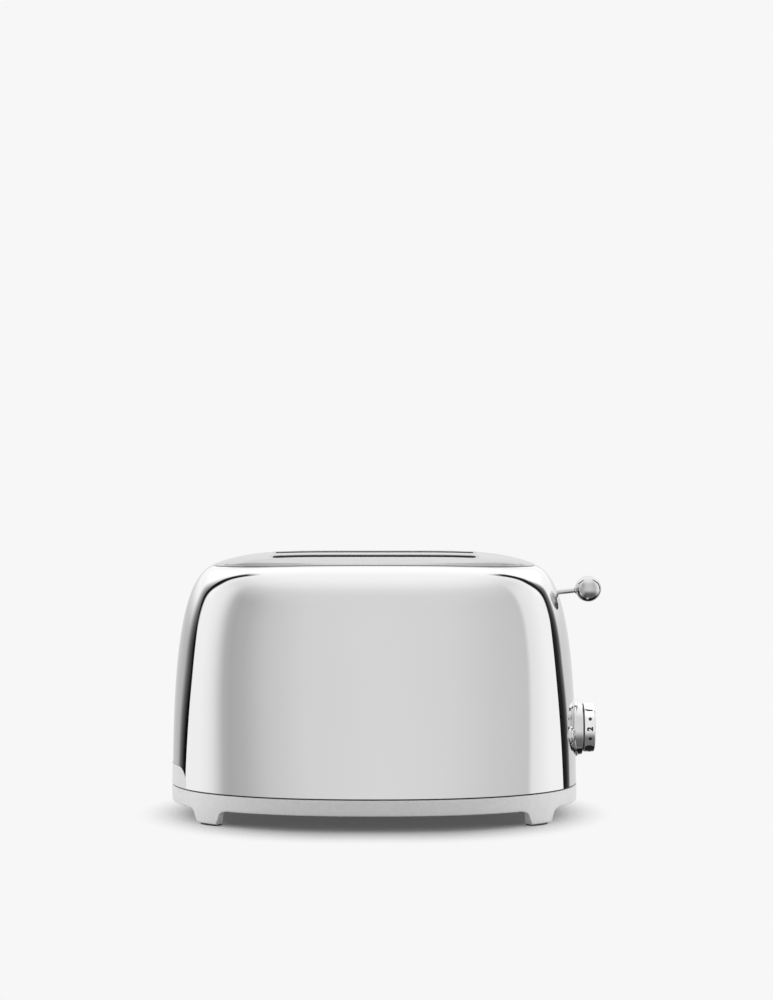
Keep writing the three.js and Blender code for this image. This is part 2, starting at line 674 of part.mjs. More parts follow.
const LEG_CURVE_SHARES = [0, 0.25, 0.55, 1];
const FEET = [["front_left", -1, -1], ["front_right", 1, -1], ["rear_left", -1, 1],
  ["rear_right", 1, 1]];

// A leg narrows quickly under the base and then runs nearly straight to its pad.
function leg(seat) {
  const rings = LEG_CURVE_SHARES.map((share) => {
    const narrow = 1 - (1 - share) ** 2;
    return footLoop(
      seat,
      mix(LEG_TOP_HALF_WIDTH, LEG_END_HALF_WIDTH, narrow),
      mix(LEG_TOP_HALF_DEPTH, LEG_END_HALF_DEPTH, narrow),
      mix(BASE_EDGE_ROUND / 2, LEG_SET_BACK, share),
      mix(BASE_BOTTOM + BASE_FLANGE_THICKNESS / 2, PAD_THICKNESS, share),
    );
  });
  return ringSolid(rings.reverse(), false);
}

function screwPlaces() {
  const angles = [SCREW_ANGLE, Math.PI - SCREW_ANGLE, Math.PI + SCREW_ANGLE, -SCREW_ANGLE];
  return angles.map((angle) =>
    outline(BASE_HALF_LENGTH - SCREW_INSET, BASE_HALF_DEPTH - SCREW_INSET, FOOT_EXPONENT, angle));
}

// Cone that a screw's head sinks into, at 45 degrees as the head is.
function countersink(place) {
  const size = SCREW_HEAD_RADIUS + SCREW_SEAT_GAP + OVERRUN;
  return new THREE.ConeGeometry(size, size, SMALL_SIDES)
    .rotateX(Math.PI / 2)
    .translate(place.x, place.y, BASE_BOTTOM - OVERRUN + size / 2);
}

function baseRing() {
  const edge = BASE_EDGE_ROUND;
  const profile = [
    [0, BASE_TOP],
    [BASE_WALL, BASE_TOP],
    [BASE_WALL, FLANGE_TOP],
    [BASE_FLANGE_WIDTH, FLANGE_TOP],
    [BASE_FLANGE_WIDTH, BASE_BOTTOM],
    [edge, BASE_BOTTOM],
    [edge * EDGE_ROUND_SHARE, BASE_BOTTOM + edge * EDGE_ROUND_SHARE],
    [0, BASE_BOTTOM + edge],
  ];
  const ring = ringSolid(profile.map(([inset, z]) => baseLoop(inset, z)), true);
  const legs = FEET.map(([, xSide, ySide]) => leg(footSeat(xSide, ySide)));
  const screwHoles = screwPlaces().flatMap((p) => [
    bar(SCREW_RADIUS + GAP, p.x, p.y, BASE_BOTTOM - OVERRUN, FLANGE_TOP + OVERRUN),
    countersink(p),
  ]);
  const inner = BASE_HALF_DEPTH - BASE_WALL - OVERRUN;
  const glandHole = barAlong(GLAND_RADIUS + GAP, inner, BASE_HALF_DEPTH + OVERRUN, SMALL_SIDES)
    .rotateZ(Math.PI / 2)
    .translate(0, 0, GLAND_HEIGHT);
  return cut(join(ring, ...legs), ...screwHoles, glandHole);
}

function footPad(seat) {
  const ring = (height) => footLoop(seat, LEG_END_HALF_WIDTH - PAD_INSET,
    LEG_END_HALF_DEPTH - PAD_INSET, LEG_SET_BACK + PAD_INSET, height);
  return ringSolid([ring(0), ring(PAD_THICKNESS)], false);
}

function undersideCover() {
  const inset = BASE_WALL + GAP;
  const plate = ringSolid([baseLoop(inset, COVER_BOTTOM), baseLoop(inset, COVER_TOP)], false);
  const holes = screwPlaces().map((p) =>
    bar(SCREW_RADIUS + GAP, p.x, p.y, COVER_BOTTOM - OVERRUN, COVER_TOP + OVERRUN));
  const vents = Array.from({ length: VENT_COUNT }, (_, i) => {
    const x = (i - (VENT_COUNT - 1) / 2) * VENT_PITCH;
    return block(x - VENT_HALF_WIDTH, x + VENT_HALF_WIDTH, -VENT_HALF_LENGTH, VENT_HALF_LENGTH,
      COVER_BOTTOM - OVERRUN, COVER_TOP + OVERRUN);
  });
  return cut(plate, ...holes, ...vents);
}

// Countersunk screw that holds the cover and the base together, point up.
function coverScrew(place) {
  const profile = [
    [0, BASE_BOTTOM],
    [SCREW_HEAD_RADIUS, BASE_BOTTOM],
    [SCREW_RADIUS, BASE_BOTTOM + SCREW_HEAD_RADIUS - SCREW_RADIUS],
    [SCREW_RADIUS, BASE_BOTTOM + SCREW_LENGTH - SCREW_RADIUS],
    [0, BASE_BOTTOM + SCREW_LENGTH],
  ];
  const head = new THREE.LatheGeometry(profile.map(([r, z]) => new THREE.Vector2(r, z)), SMALL_SIDES)
    .rotateX(Math.PI / 2);
  return head.translate(place.x, place.y, 0);
}

const PLATE_COLUMNS = 44;
const DOME_SHARES = [0.35, 0.6, 0.75, 0.85, 0.93, 1];

// Ring of the top plate at a share of its outline, raised from the rim's height. The rings
// near the middle are boxier, so that the plate is nearly flat round the slots.
function plateLoop(share, inset, raise) {
  const exponent = mix(PLATE_MIDDLE_EXPONENT, RIM_EXPONENT, share ** PLATE_OUTLINE_EXPONENT);
  return Array.from({ length: PLATE_COLUMNS }, (_, i) => {
    const angle = (2 * Math.PI * i) / PLATE_COLUMNS;
    const flat = outline(RIM_HALF_LENGTH - inset, RIM_HALF_DEPTH - inset, exponent, angle)
      .multiplyScalar(share);
    const side = Math.sin(angle) ** 2;
    const rim = mix(RIM_END_HEIGHT, RIM_SIDE_HEIGHT, side) + GAP;
    const fall = share ** mix(END_DOME_EXPONENT, SIDE_DOME_EXPONENT, side);
    const height = mix(CROWN_HEIGHT - PLATE_THICKNESS, rim, fall);
    return new THREE.Vector3(flat.x, flat.y, height + raise);
  });
}

// Rounded frame outline of a slot, as a prism between two heights.
function slotPrism(centre, grow, z0, z1) {
  const halfLength = SLOT_HALF_LENGTH + grow;
  const halfWidth = SLOT_HALF_WIDTH + grow;
  const round = COLLAR_ROUND + grow;
  const shape = new THREE.Shape();
  const corners = [[1, 1, 0], [-1, 1, 1], [-1, -1, 2], [1, -1, 3]];
  for (const [x, y, quarter] of corners)
    shape.absarc(x * (halfLength - round), y * (halfWidth - round), round,
      (quarter * Math.PI) / 2, ((quarter + 1) * Math.PI) / 2);
  shape.closePath();
  return new THREE.ExtrudeGeometry(shape, { depth: z1 - z0, bevelEnabled: false, curveSegments: 3 })
    .translate(0, centre, z0);
}

const SLOTS = [["front", -1], ["rear", 1]];

function topPlate() {
  const under = DOME_SHARES.map((share) => plateLoop(share, PLATE_INSET, 0));
  const edge = [plateLoop(1, PLATE_INSET, PLATE_EDGE / 2)];
  const top = DOME_SHARES.map((share) =>
    plateLoop(share, share === 1 ? PLATE_INSET + PLATE_EDGE / 2 : PLATE_INSET, PLATE_THICKNESS));
  const slots = SLOTS.map(([, side]) =>
    slotPrism(side * SLOT_CENTRE, COLLAR_WALL + GAP, COLLAR_BOTTOM, CROWN_HEIGHT + OVERRUN));
  return cut(ringSolid([...under, ...edge, ...top.reverse()], false), ...slots);
}

// A collar's top edge follows the plate and stands a little proud of it.
function slotCollar(side) {
  const centre = side * SLOT_CENTRE;
  const top = CROWN_HEIGHT + OVERRUN;
  const low = plateLoop(1, PLATE_INSET, -2 * COLLAR_DROP);
  const dome = DOME_SHARES.map((share) =>
    plateLoop(share, PLATE_INSET, PLATE_THICKNESS + COLLAR_PROUD));
  const wall = cut(
    slotPrism(centre, COLLAR_WALL, COLLAR_BOTTOM, top),
    slotPrism(centre, 0, COLLAR_BOTTOM - OVERRUN, top + OVERRUN),
  );
  return common(wall, ringSolid([low, ...dome.reverse()], false));
}

// Openings in a chassis plate for the two racks.
function rackCuts(x0, x1) {
  return SLOTS.map(([, side]) => {
    const y = side * SLOT_CENTRE;
    const half = RACK_THICKNESS / 2 + RACK_SLIT_MARGIN;
    return block(x0 - OVERRUN, x1 + OVERRUN, y - half, y + half,
      RACK_TOP - RACK_HEIGHT - CARRIAGE_TRAVEL - RACK_SLIT_END, RACK_TOP + RACK_SLIT_END);
  });
}

const CHASSIS_OUTLINE = [
  [-CHASSIS_HALF_DEPTH, FLOOR],
  [CHASSIS_HALF_DEPTH, FLOOR],
  [CHASSIS_HALF_DEPTH, CHASSIS_SHOULDER],
  [CHASSIS_TOP_HALF_DEPTH, CHASSIS_TOP],
  [-CHASSIS_TOP_HALF_DEPTH, CHASSIS_TOP],
  [-CHASSIS_HALF_DEPTH, CHASSIS_SHOULDER],
];

function chassisLeft() {
  const x0 = -CHASSIS_X - SHEET;
  const x1 = -CHASSIS_X;
  const half = ARCH_HALF_WIDTH;
  const notch = block(x0 - OVERRUN, x1 + OVERRUN, -half, half, FLOOR - OVERRUN, NOTCH_TOP);
  return cut(sheetAcross(CHASSIS_OUTLINE, x0, x1), notch, ...rackCuts(x0, x1));
}

// The plate at the lever end carries two shelves, which hold the carriage's rods.
function chassisRight() {
  const x0 = CHASSIS_X;
  const x1 = CHASSIS_X + SHEET;
  const shelves = [SHELF_LOW, SHELF_HIGH].map((z) =>
    block(x0, SHELF_END, -SHELF_HALF_DEPTH, SHELF_HALF_DEPTH, z, z + SHEET));
  const rodHoles = [-ROD_Y, ROD_Y].map((y) =>
    bar(ROD_RADIUS + GAP, ROD_X, y, SHELF_LOW - OVERRUN, SHELF_HIGH + OVERRUN));
  return cut(join(sheetAcross(CHASSIS_OUTLINE, x0, x1), ...shelves), ...rodHoles,
    ...rackCuts(x0, x1));
}

// Folded reflector sheet behind an outer heater.
function reflector(side) {
  const half = CHASSIS_X - GAP;
  const wall = block(-half, half, REFLECTOR_Y, REFLECTOR_Y + SHEET, REFLECTOR_BOTTOM, REFLECTOR_TOP);
  const lips = [REFLECTOR_BOTTOM, REFLECTOR_TOP - SHEET].map((z) =>
    block(-half, half, REFLECTOR_Y - REFLECTOR_LIP, REFLECTOR_Y + SHEET, z, z + SHEET));
  const made = join(wall, ...lips);
  return side > 0 ? made : made.rotateZ(Math.PI);
}

const HEATERS = [
  ["outer_front", -MICA_OUTER_Y, 1],
  ["inner_front", -MICA_INNER_Y, -1],
  ["inner_rear", MICA_INNER_Y, 1],
  ["outer_rear", MICA_OUTER_Y, -1],
];

// Mica sheet with two tabs at each end, which reach the chassis plates.
function heaterBoard(y) {
  const reach = CHASSIS_X - GAP;
  const body = reach - MICA_TAB_LENGTH;
  const levels = MICA_TAB_SHARES.map((share) => mix(MICA_BOTTOM, MICA_TOP, share));
  const side = [[body, MICA_BOTTOM]];
  levels.forEach((z, i) => {
    const [near, far] = i % 2 ? [reach, body] : [body, reach];
    side.push([near, z], [far, z]);
  });
  side.push([body, MICA_TOP]);
  const mirrored = side.map(([x, z]) => [-x, z]).reverse();
  return sheetAlong([...side, ...mirrored], y - MICA / 2, y + MICA / 2);
}

// Resistance ribbon that runs to and fro on the face of a heater board.
function heaterRibbon(y, facing) {
  const reach = CHASSIS_X - MICA_TAB_LENGTH - RIBBON_MARGIN;
  const low = MICA_BOTTOM + RIBBON_MARGIN;
  const pitch = (MICA_TOP - RIBBON_MARGIN - RIBBON_WIDTH - low) / (RIBBON_ROWS - 1);
  const near = y + facing * (MICA / 2 + GAP);
  const [y0, y1] = [near, near + facing * RIBBON_THICKNESS].sort((a, b) => a - b);
  const strips = [];
  for (let i = 0; i < RIBBON_ROWS; i++) {
    const z = low + i * pitch;
    strips.push(block(-reach, reach, y0, y1, z, z + RIBBON_WIDTH));
    const x = i % 2 ? -reach : reach - RIBBON_WIDTH;
    if (i < RIBBON_ROWS - 1)
      strips.push(block(x, x + RIBBON_WIDTH, y0, y1, z, z + pitch + RIBBON_WIDTH));
  }
  return join(...strips);
}

const GUIDES = [
  ["front_outer", -SLOT_CENTRE - GUIDE_OFFSET],
  ["front_inner", -SLOT_CENTRE + GUIDE_OFFSET],
  ["rear_inner", SLOT_CENTRE - GUIDE_OFFSET],
  ["rear_outer", SLOT_CENTRE + GUIDE_OFFSET],
];

// Wire grille that centres the bread, with its ends at the chassis plates.
function breadGuide(y) {
  const reach = CHASSIS_X - GAP;
  const half = WIRE / 2;
  const rails = [GUIDE_BOTTOM, GUIDE_TOP].map((z) =>
    block(-reach, reach, y - half, y + half, z - half, z + half));
  const bars = Array.from({ length: GUIDE_BARS }, (_, i) => {
    const x = mix(-SLOT_HALF_LENGTH, SLOT_HALF_LENGTH, (i + 0.5) / GUIDE_BARS);
    return block(x - half, x + half, y - half, y + half, GUIDE_BOTTOM, GUIDE_TOP);
  });
  return join(...rails, ...bars);
}

// Toothed bar that the bread stands on; it runs out through both chassis plates.
function breadRack(side) {
  const y = side * SLOT_CENTRE;
  const half = RACK_THICKNESS / 2;
  const low = RACK_TOP - RACK_HEIGHT;
  const rail = block(-CHASSIS_X - RACK_END, BRACKET_X - GAP, y - half, y + half, low, RACK_TOP);
  const prongs = Array.from({ length: RACK_PRONGS }, (_, i) => {
    const x = mix(-RACK_HALF_LENGTH, RACK_HALF_LENGTH, (i + 0.5) / RACK_PRONGS);
    return block(x - RACK_PRONG / 2, x + RACK_PRONG / 2, y - RACK_PRONG_HALF, y + RACK_PRONG_HALF,
      RACK_TOP - RACK_PRONG, RACK_TOP);
  });
  return join(rail, ...prongs);
}

// Bar towards the ball from inside the carriage's lug, on the arm's own slope.
function armBar(radius, start, end) {
  const stretch = Math.hypot(1, ARM_SLOPE);
  return barAlong(radius, (start - BALL_X) * stretch, end * stretch, SMALL_SIDES)
    .rotateY(-Math.atan(ARM_SLOPE))
    .translate(BALL_X, 0, BALL_HEIGHT);
}

// Slider on the two rods, with the racks in front and the lever's lug on top.
function carriageBracket() {
  const x0 = BRACKET_X;
  const x1 = BRACKET_X + BRACKET_THICKNESS;
  const low = BRACKET_BOTTOM;
  const cross = block(x0, x1, -BRACKET_HALF_DEPTH, BRACKET_HALF_DEPTH, low, low + BRACKET_HEIGHT);
  const spine = block(x0, x1, -SPINE_HALF_WIDTH, SPINE_HALF_WIDTH, low, SPINE_TOP);
  const lug = block(x0, x1 + LUG_LENGTH, -LUG_HALF, LUG_HALF, SPINE_TOP - LUG_LENGTH, SPINE_TOP);
  const seat = SPRING_BOTTOM - GAP;
  const tab = block(x0 - LUG_LENGTH + GAP, x1, -LUG_HALF, LUG_HALF, seat - SPRING_TAB, seat);
  const bushes = [-ROD_Y, ROD_Y].map((y) =>
    block(x0, ROD_X + BUSH_HALF, y - BUSH_HALF, y + BUSH_HALF, low, low + BUSH_HEIGHT));
  const bores = [-ROD_Y, ROD_Y].map((y) =>
    bar(ROD_RADIUS + GAP, ROD_X, y, low - OVERRUN, low + BUSH_HEIGHT + OVERRUN));
  return cut(join(cross, spine, lug, tab, ...bushes), ...bores,
    armBar(ARM_RADIUS + GAP, ARM_START - GAP, 0));
}

const guideRod = (y) =>
  bar(ROD_RADIUS, ROD_X, y, SHELF_LOW - ROD_END, SHELF_HIGH + SHEET + ROD_END);

// Lift spring between the upper shelf and the carriage's tab, as one helix of square wire.
function liftSpring() {
  const half = SPRING_WIRE / 2;
  const low = SPRING_BOTTOM + half;
  const high = SHELF_HIGH - GAP - half;
  const steps = SPRING_TURNS * SPRING_STEPS;
  const rings = Array.from({ length: steps + 1 }, (_, i) => {
    const angle = (2 * Math.PI * i) / SPRING_STEPS;
    const height = mix(low, high, i / steps);
    const at = (radius, z) =>
      new THREE.Vector3(SPRING_X + radius * Math.cos(angle), radius * Math.sin(angle), z);
    return [
      at(SPRING_RADIUS, height + half),
      at(SPRING_RADIUS + half, height),
      at(SPRING_RADIUS, height - half),
      at(SPRING_RADIUS - half, height),
    ];
  });
  return ringSolid(rings, false);
}

function latchPlate() {
  const x0 = BRACKET_X + BRACKET_THICKNESS + GAP;
  return block(x0, x0 + LATCH_LENGTH, -LATCH_HALF_WIDTH, LATCH_HALF_WIDTH, LATCH_HEIGHT,
    LATCH_HEIGHT + LATCH_THICKNESS);
}

const CORE_BOTTOM = SHELF_LOW + SHEET + GAP;
const CORE_TOP = LATCH_HEIGHT - CARRIAGE_TRAVEL - GAP;
const HEAD_BOTTOM = CORE_TOP - CORE_HEAD_THICKNESS;

// Turned profile of [z, radius] set upright on the magnet's axis.
const onMagnet = (profile) => turned(profile).rotateY(-Math.PI / 2).translate(MAGNET_X, 0, 0);

const magnetCore = () => onMagnet([
  [CORE_BOTTOM, 0],
  [CORE_BOTTOM, CORE_RADIUS],
  [HEAD_BOTTOM, CORE_RADIUS],
  [HEAD_BOTTOM, CORE_HEAD_RADIUS],
  [CORE_TOP, CORE_HEAD_RADIUS],
  [CORE_TOP, 0],
]);

const magnetCoil = () => onMagnet([
  [CORE_BOTTOM, CORE_RADIUS + GAP],
  [CORE_BOTTOM, COIL_RADIUS],
  [HEAD_BOTTOM - GAP, COIL_RADIUS],
  [HEAD_BOTTOM - GAP, CORE_RADIUS + GAP],
]);

const leverArm = () => armBar(ARM_RADIUS, ARM_START, -ARM_SEAT);

function leverBall() {
  const ball = new THREE.SphereGeometry(BALL_RADIUS, ROUND_SIDES, SMALL_SIDES)
    .translate(BALL_X, 0, BALL_HEIGHT);
  return cut(ball, armBar(ARM_RADIUS + GAP, BALL_X - BALL_RADIUS - OVERRUN, GAP - ARM_SEAT));
}

// Plastic frame behind the skin, round the lever's slot.
function leverSlotGuide() {
  const back = SKIN_WALL + GAP;
  const layer = cut(skinBlock(-back), skinBlock(-back - GUIDE_FRAME_WALL));
  const half = LEVER_SLOT_HALF + GUIDE_FRAME_WIDTH;
  const frame = block(ROD_X, BALL_X, -half, half, LEVER_SLOT_BOTTOM - GUIDE_FRAME_WIDTH,
    LEVER_SLOT_TOP + GUIDE_FRAME_WIDTH);
  return cut(common(layer, frame), leverSlot(LEVER_SLOT_HALF - GAP));
}

const DIAL_BACK = BEZEL_FRONT_X + DIAL_SHADOW_GAP;
const DIAL_FRONT = DIAL_BACK + DIAL_LENGTH;
const atDial = (geometry) => geometry.translate(0, 0, DIAL_HEIGHT);

function browningDial() {
  const bore = SHAFT_RADIUS + GAP;
  const inner = DIAL_ROUND * EDGE_ROUND_SHARE;
  return atDial(turned([
    [DIAL_BACK + SHAFT_GRIP + GAP, 0],
    [DIAL_BACK + SHAFT_GRIP + GAP, bore],
    [DIAL_BACK, bore],
    [DIAL_BACK, DIAL_RADIUS],
    [DIAL_FRONT - DIAL_ROUND, DIAL_RADIUS],
    [DIAL_FRONT - inner, DIAL_RADIUS - inner],
    [DIAL_FRONT, DIAL_RADIUS - DIAL_ROUND],
    [DIAL_FRONT, 0],
  ], DIAL_SIDES));
}

function dialBezel() {
  const back = BEZEL_FRONT_X - BEZEL_FLANGE_RADIUS / 2;
  const disc = atDial(turned([
    [back, 0],
    [back, BEZEL_FLANGE_RADIUS],
    [BEZEL_FLANGE_X, BEZEL_FLANGE_RADIUS],
    [BEZEL_FLANGE_X, BEZEL_RING_RADIUS],
    [BEZEL_FRONT_X, BEZEL_RING_RADIUS],
    [BEZEL_FRONT_X, 0],
  ], DIAL_SIDES));
  const spigotBack = BEZEL_FLANGE_X - SPIGOT_LENGTH;
  const spigot = atDial(barAlong(SPIGOT_RADIUS, spigotBack, BEZEL_FLANGE_X));
  const bore = atDial(barAlong(SHAFT_RADIUS + GAP, spigotBack - OVERRUN, BEZEL_FRONT_X + OVERRUN));
  return cut(join(cut(disc, skinBlock(GAP)), spigot), bore);
}

const BOARD_FACE = BOARD_X + BOARD_THICKNESS;
const dialShaft = () =>
  atDial(barAlong(SHAFT_RADIUS, BOARD_FACE + GAP, DIAL_BACK + SHAFT_GRIP));

const potentiometer = () => atDial(turned([
  [BOARD_FACE + GAP, SHAFT_RADIUS + GAP],
  [BOARD_FACE + GAP, POT_RADIUS],
  [BOARD_FACE + GAP + POT_LENGTH, POT_RADIUS],
  [BOARD_FACE + GAP + POT_LENGTH, SHAFT_RADIUS + GAP],
]));

// Circuit board with its relay and its capacitor.
function controlBoard() {
  const panel = block(BOARD_X, BOARD_FACE, -BOARD_HALF_DEPTH, BOARD_HALF_DEPTH, FLOOR, BOARD_TOP);
  const relay = block(BOARD_X, BOARD_FACE + RELAY_LENGTH, -RELAY_HALF_DEPTH, RELAY_HALF_DEPTH,
    BASE_TOP, BASE_TOP + RELAY_HEIGHT);
  const capacitor = barAlong(CAPACITOR_RADIUS, BOARD_X, BOARD_FACE + CAPACITOR_LENGTH, SMALL_SIDES)
    .translate(0, CAPACITOR_Y, BASE_TOP + CAPACITOR_RISE);
  return join(panel, relay, capacitor);
}

function buttonBezel(seat) {
  const flange = atButton(
    barAlong(BUTTON_FLANGE_RADIUS, -BUTTON_SLEEVE_LENGTH, BUTTON_BEZEL_PROUD, BUTTON_SIDES), seat);
  const sleeve = atButton(
    barAlong(BUTTON_SLEEVE_RADIUS, -BUTTON_SLEEVE_LENGTH, BUTTON_BEZEL_PROUD, BUTTON_SIDES), seat);
  const bore = atButton(
    barAlong(BUTTON_RADIUS + GAP, -BUTTON_LENGTH, BUTTON_LENGTH, BUTTON_SIDES), seat);
  return cut(join(cut(flange, skinBlock(GAP)), sleeve), bore);
}

const button = (seat) => atButton(turned([
  [BUTTON_PROUD - BUTTON_LENGTH, 0],
  [BUTTON_PROUD - BUTTON_LENGTH, BUTTON_RADIUS],
  [BUTTON_PROUD - BUTTON_CHAMFER / 2, BUTTON_RADIUS],
  [BUTTON_PROUD, BUTTON_RADIUS - BUTTON_CHAMFER],
  [BUTTON_PROUD, 0],
], BUTTON_SIDES), seat);

// Push switch on the circuit board; its plunger ends just short of the pressed button.
function buttonSwitch(side, seat) {
  const x0 = BOARD_FACE + GAP;
  const y = side * SWITCH_Y;
  const body = block(x0, x0 + SWITCH_LENGTH, y - SWITCH_HALF, y + SWITCH_HALF,
    BUTTON_HEIGHT - SWITCH_HALF, BUTTON_HEIGHT + SWITCH_HALF);
  const end = seat.x + BUTTON_PROUD - BUTTON_LENGTH - BUTTON_TRAVEL - PLUNGER_MARGIN;
  const plunger = barAlong(PLUNGER_RADIUS, x0, end, SMALL_SIDES).translate(0, y, BUTTON_HEIGHT);
  return join(body, plunger);
}

function crumbTray() {
  const half = TRAY_HALF_WIDTH;
  const wall = TRAY_WALL;
  const top = TRAY_FLOOR + TRAY_HEIGHT;
  const outer = block(TRAY_FRONT_X, TRAY_BACK_X, -half, half, TRAY_FLOOR, top);
  const hollow = block(TRAY_FRONT_X + wall, TRAY_BACK_X - wall, wall - half, half - wall,
    TRAY_FLOOR + wall, top + OVERRUN);
  return cut(outer, hollow);
}

// Front of the crumb tray: an arch that follows the skin's form.
const trayFront = () => common(
  skinBlock(SKIN_SET_BACK),
  archBlock(-BASE_HALF_LENGTH - OVERRUN, TRAY_FRONT_X - GAP, 0, BASE_BOTTOM),
);

// Angle rail that the crumb tray slides on, standing on the cover.
function trayRail(side) {
  const inner = TRAY_HALF_WIDTH + 2 * GAP;
  const outer = inner + RAIL_WALL;
  const top = TRAY_FLOOR - GAP;
  const profile = [
    [inner, FLOOR],
    [outer, FLOOR],
    [outer, top + TRAY_HEIGHT / 2],
    [inner, top + TRAY_HEIGHT / 2],
    [inner, top],
    [inner - RAIL_LIP, top],
    [inner - RAIL_LIP, top - RAIL_WALL],
    [inner, top - RAIL_WALL],
  ];
  const reach = CHASSIS_X - GAP;
  return sheetAcross(profile.map(([y, z]) => [side * y, z]), TRAY_FRONT_X + RAIL_SET_BACK, reach);
}

// Empty strain relief in the rear wall of the base.
function cordGland() {
  const end = BASE_HALF_DEPTH - GAP;
  return turned([
    [end - GLAND_LENGTH, GLAND_BORE],
    [end - GLAND_LENGTH, GLAND_RADIUS],
    [end, GLAND_RADIUS],
    [end, GLAND_BORE],
  ], SMALL_SIDES).rotateZ(Math.PI / 2).translate(0, 0, GLAND_HEIGHT);
}

function terminalBlock() {
  const far = BASE_HALF_DEPTH - GLAND_LENGTH - BLOCK_MARGIN;
  return block(-BLOCK_LENGTH / 2, BLOCK_LENGTH / 2, far - BLOCK_DEPTH, far, FLOOR,
    FLOOR + BLOCK_HEIGHT);
}

// The assembly, one group for each unit that comes out of the housing as a whole
const toaster = new THREE.Group();
toaster.position.x = (BASE_HALF_LENGTH - BALL_X - BALL_RADIUS) / 2;

function unit() {
  const group = new THREE.Group();
  toaster.add(group);
  return (name, geometry, material) => {
    const mesh = new THREE.Mesh(geometry, material);
    mesh.name = name;
    group.add(mesh);
  };
}

const chrome = () => finish(CHROME, 0.06, 1);
const brushed = () => finish(STEEL, 0.35, 1);
const satin = () => finish(SATIN, 0.4, 0.6);
const plain = (color) => finish(color, 0.6, 0);

const housing = unit();
housing("base_ring", baseRing(), satin());
housing("underside_cover", undersideCover(), brushed());
for (const [name, xSide, ySide] of FEET)
  housing("foot_pad_" + name, footPad(footSeat(xSide, ySide)), plain(DARK));
screwPlaces().forEach((place, i) => housing("cover_screw_" + (i + 1), coverScrew(place), brushed()));
housing("body_shell", bodyShell(), chrome());
housing("top_plate", topPlate(), brushed());
housing("lever_slot_guide", leverSlotGuide(), plain(DARK));
housing("dial_bezel", dialBezel(), chrome());
for (const [name, side] of SLOTS) housing("slot_collar_" + name, slotCollar(side), brushed());
housing("cord_gland", cordGland(), plain(DARK));
housing("terminal_block", terminalBlock(), plain(SATIN));

const chassis = unit();
chassis("chassis_plate_left", chassisLeft(), brushed());
chassis("chassis_plate_right", chassisRight(), brushed());
for (const [name, side] of SLOTS) chassis("reflector_" + name, reflector(side), brushed());
for (const [name, y, facing] of HEATERS) {
  chassis("heater_board_" + name, heaterBoard(y), plain(MICA_COLOUR));
  chassis("heater_ribbon_" + name, heaterRibbon(y, facing), brushed());
}
for (const [name, side] of SLOTS) chassis("tray_rail_" + name, trayRail(side), brushed());
for (const [name, side] of SLOTS) chassis("guide_rod_" + name, guideRod(side * ROD_Y), brushed());
chassis("magnet_core", magnetCore(), brushed());
chassis("magnet_coil", magnetCoil(), plain(COPPER));
chassis("control_board", controlBoard(), plain(BOARD_GREEN));
chassis("potentiometer", potentiometer(), plain(DARK));
for (const [name, y] of GUIDES) chassis("bread_guide_" + name, breadGuide(y), brushed());

const carriage = unit();
carriage("carriage_bracket", carriageBracket(), brushed());
for (const [name, side] of SLOTS) carriage("bread_rack_" + name, breadRack(side), brushed());
carriage("latch_plate", latchPlate(), brushed());
carriage("lift_spring", liftSpring(), brushed());
carriage("lever_arm", leverArm(), chrome());
carriage("lever_ball", leverBall(), chrome());

const controls = unit();
controls("browning_dial", browningDial(), chrome());
controls("dial_shaft", dialShaft(), brushed());
for (const [name, side] of SLOTS) {
  controls("button_" + name, button(BUTTON_SEATS[name]), chrome());
  controls("button_bezel_" + name, buttonBezel(BUTTON_SEATS[name]), chrome());
  controls("button_switch_" + name, buttonSwitch(side, BUTTON_SEATS[name]), plain(DARK));
}

const tray = unit();
tray("crumb_tray", crumbTray(), brushed());
tray("crumb_tray_front", trayFront(), satin());

export default toaster;
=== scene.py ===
"""The looks of a chrome two-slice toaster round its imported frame, in metres, +Z up, -Y front."""

from math import asin, atan, atan2, cos, hypot, pi, radians, sin

import bmesh
import bpy
import numpy as np
from mathutils import Matrix, Vector
from mathutils.bvhtree import BVHTree


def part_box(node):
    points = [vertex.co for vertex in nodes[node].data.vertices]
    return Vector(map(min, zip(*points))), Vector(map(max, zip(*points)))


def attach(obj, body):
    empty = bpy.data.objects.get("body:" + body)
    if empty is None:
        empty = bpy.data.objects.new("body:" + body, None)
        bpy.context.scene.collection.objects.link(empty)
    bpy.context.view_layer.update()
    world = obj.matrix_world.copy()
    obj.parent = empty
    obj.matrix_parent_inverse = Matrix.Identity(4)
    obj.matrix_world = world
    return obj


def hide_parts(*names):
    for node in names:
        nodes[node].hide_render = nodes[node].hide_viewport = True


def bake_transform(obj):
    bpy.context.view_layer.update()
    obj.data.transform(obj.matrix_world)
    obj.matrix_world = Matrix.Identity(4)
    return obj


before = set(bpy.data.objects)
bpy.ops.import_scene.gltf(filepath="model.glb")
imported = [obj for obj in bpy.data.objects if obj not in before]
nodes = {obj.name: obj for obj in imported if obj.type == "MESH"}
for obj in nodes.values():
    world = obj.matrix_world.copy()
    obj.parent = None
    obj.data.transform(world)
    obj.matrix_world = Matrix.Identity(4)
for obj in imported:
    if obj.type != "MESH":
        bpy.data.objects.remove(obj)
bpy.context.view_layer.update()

# Places that come from the frame
BASE_LOW, BASE_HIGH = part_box("base_ring")
BALL_LOW, BALL_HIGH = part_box("lever_ball")
DIAL_LOW, DIAL_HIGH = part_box("browning_dial")
BEZEL_LOW, BEZEL_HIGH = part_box("dial_bezel")
SPRING_LOW, SPRING_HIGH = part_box("lift_spring")
CENTRE = Vector(((BASE_LOW.x + BASE_HIGH.x) / 2, 0, 0))
BASE_HALF_LENGTH = (BASE_HIGH.x - BASE_LOW.x) / 2
BASE_HALF_DEPTH = (BASE_HIGH.y - BASE_LOW.y) / 2
BASE_TOP = BASE_HIGH.z - 0.0031
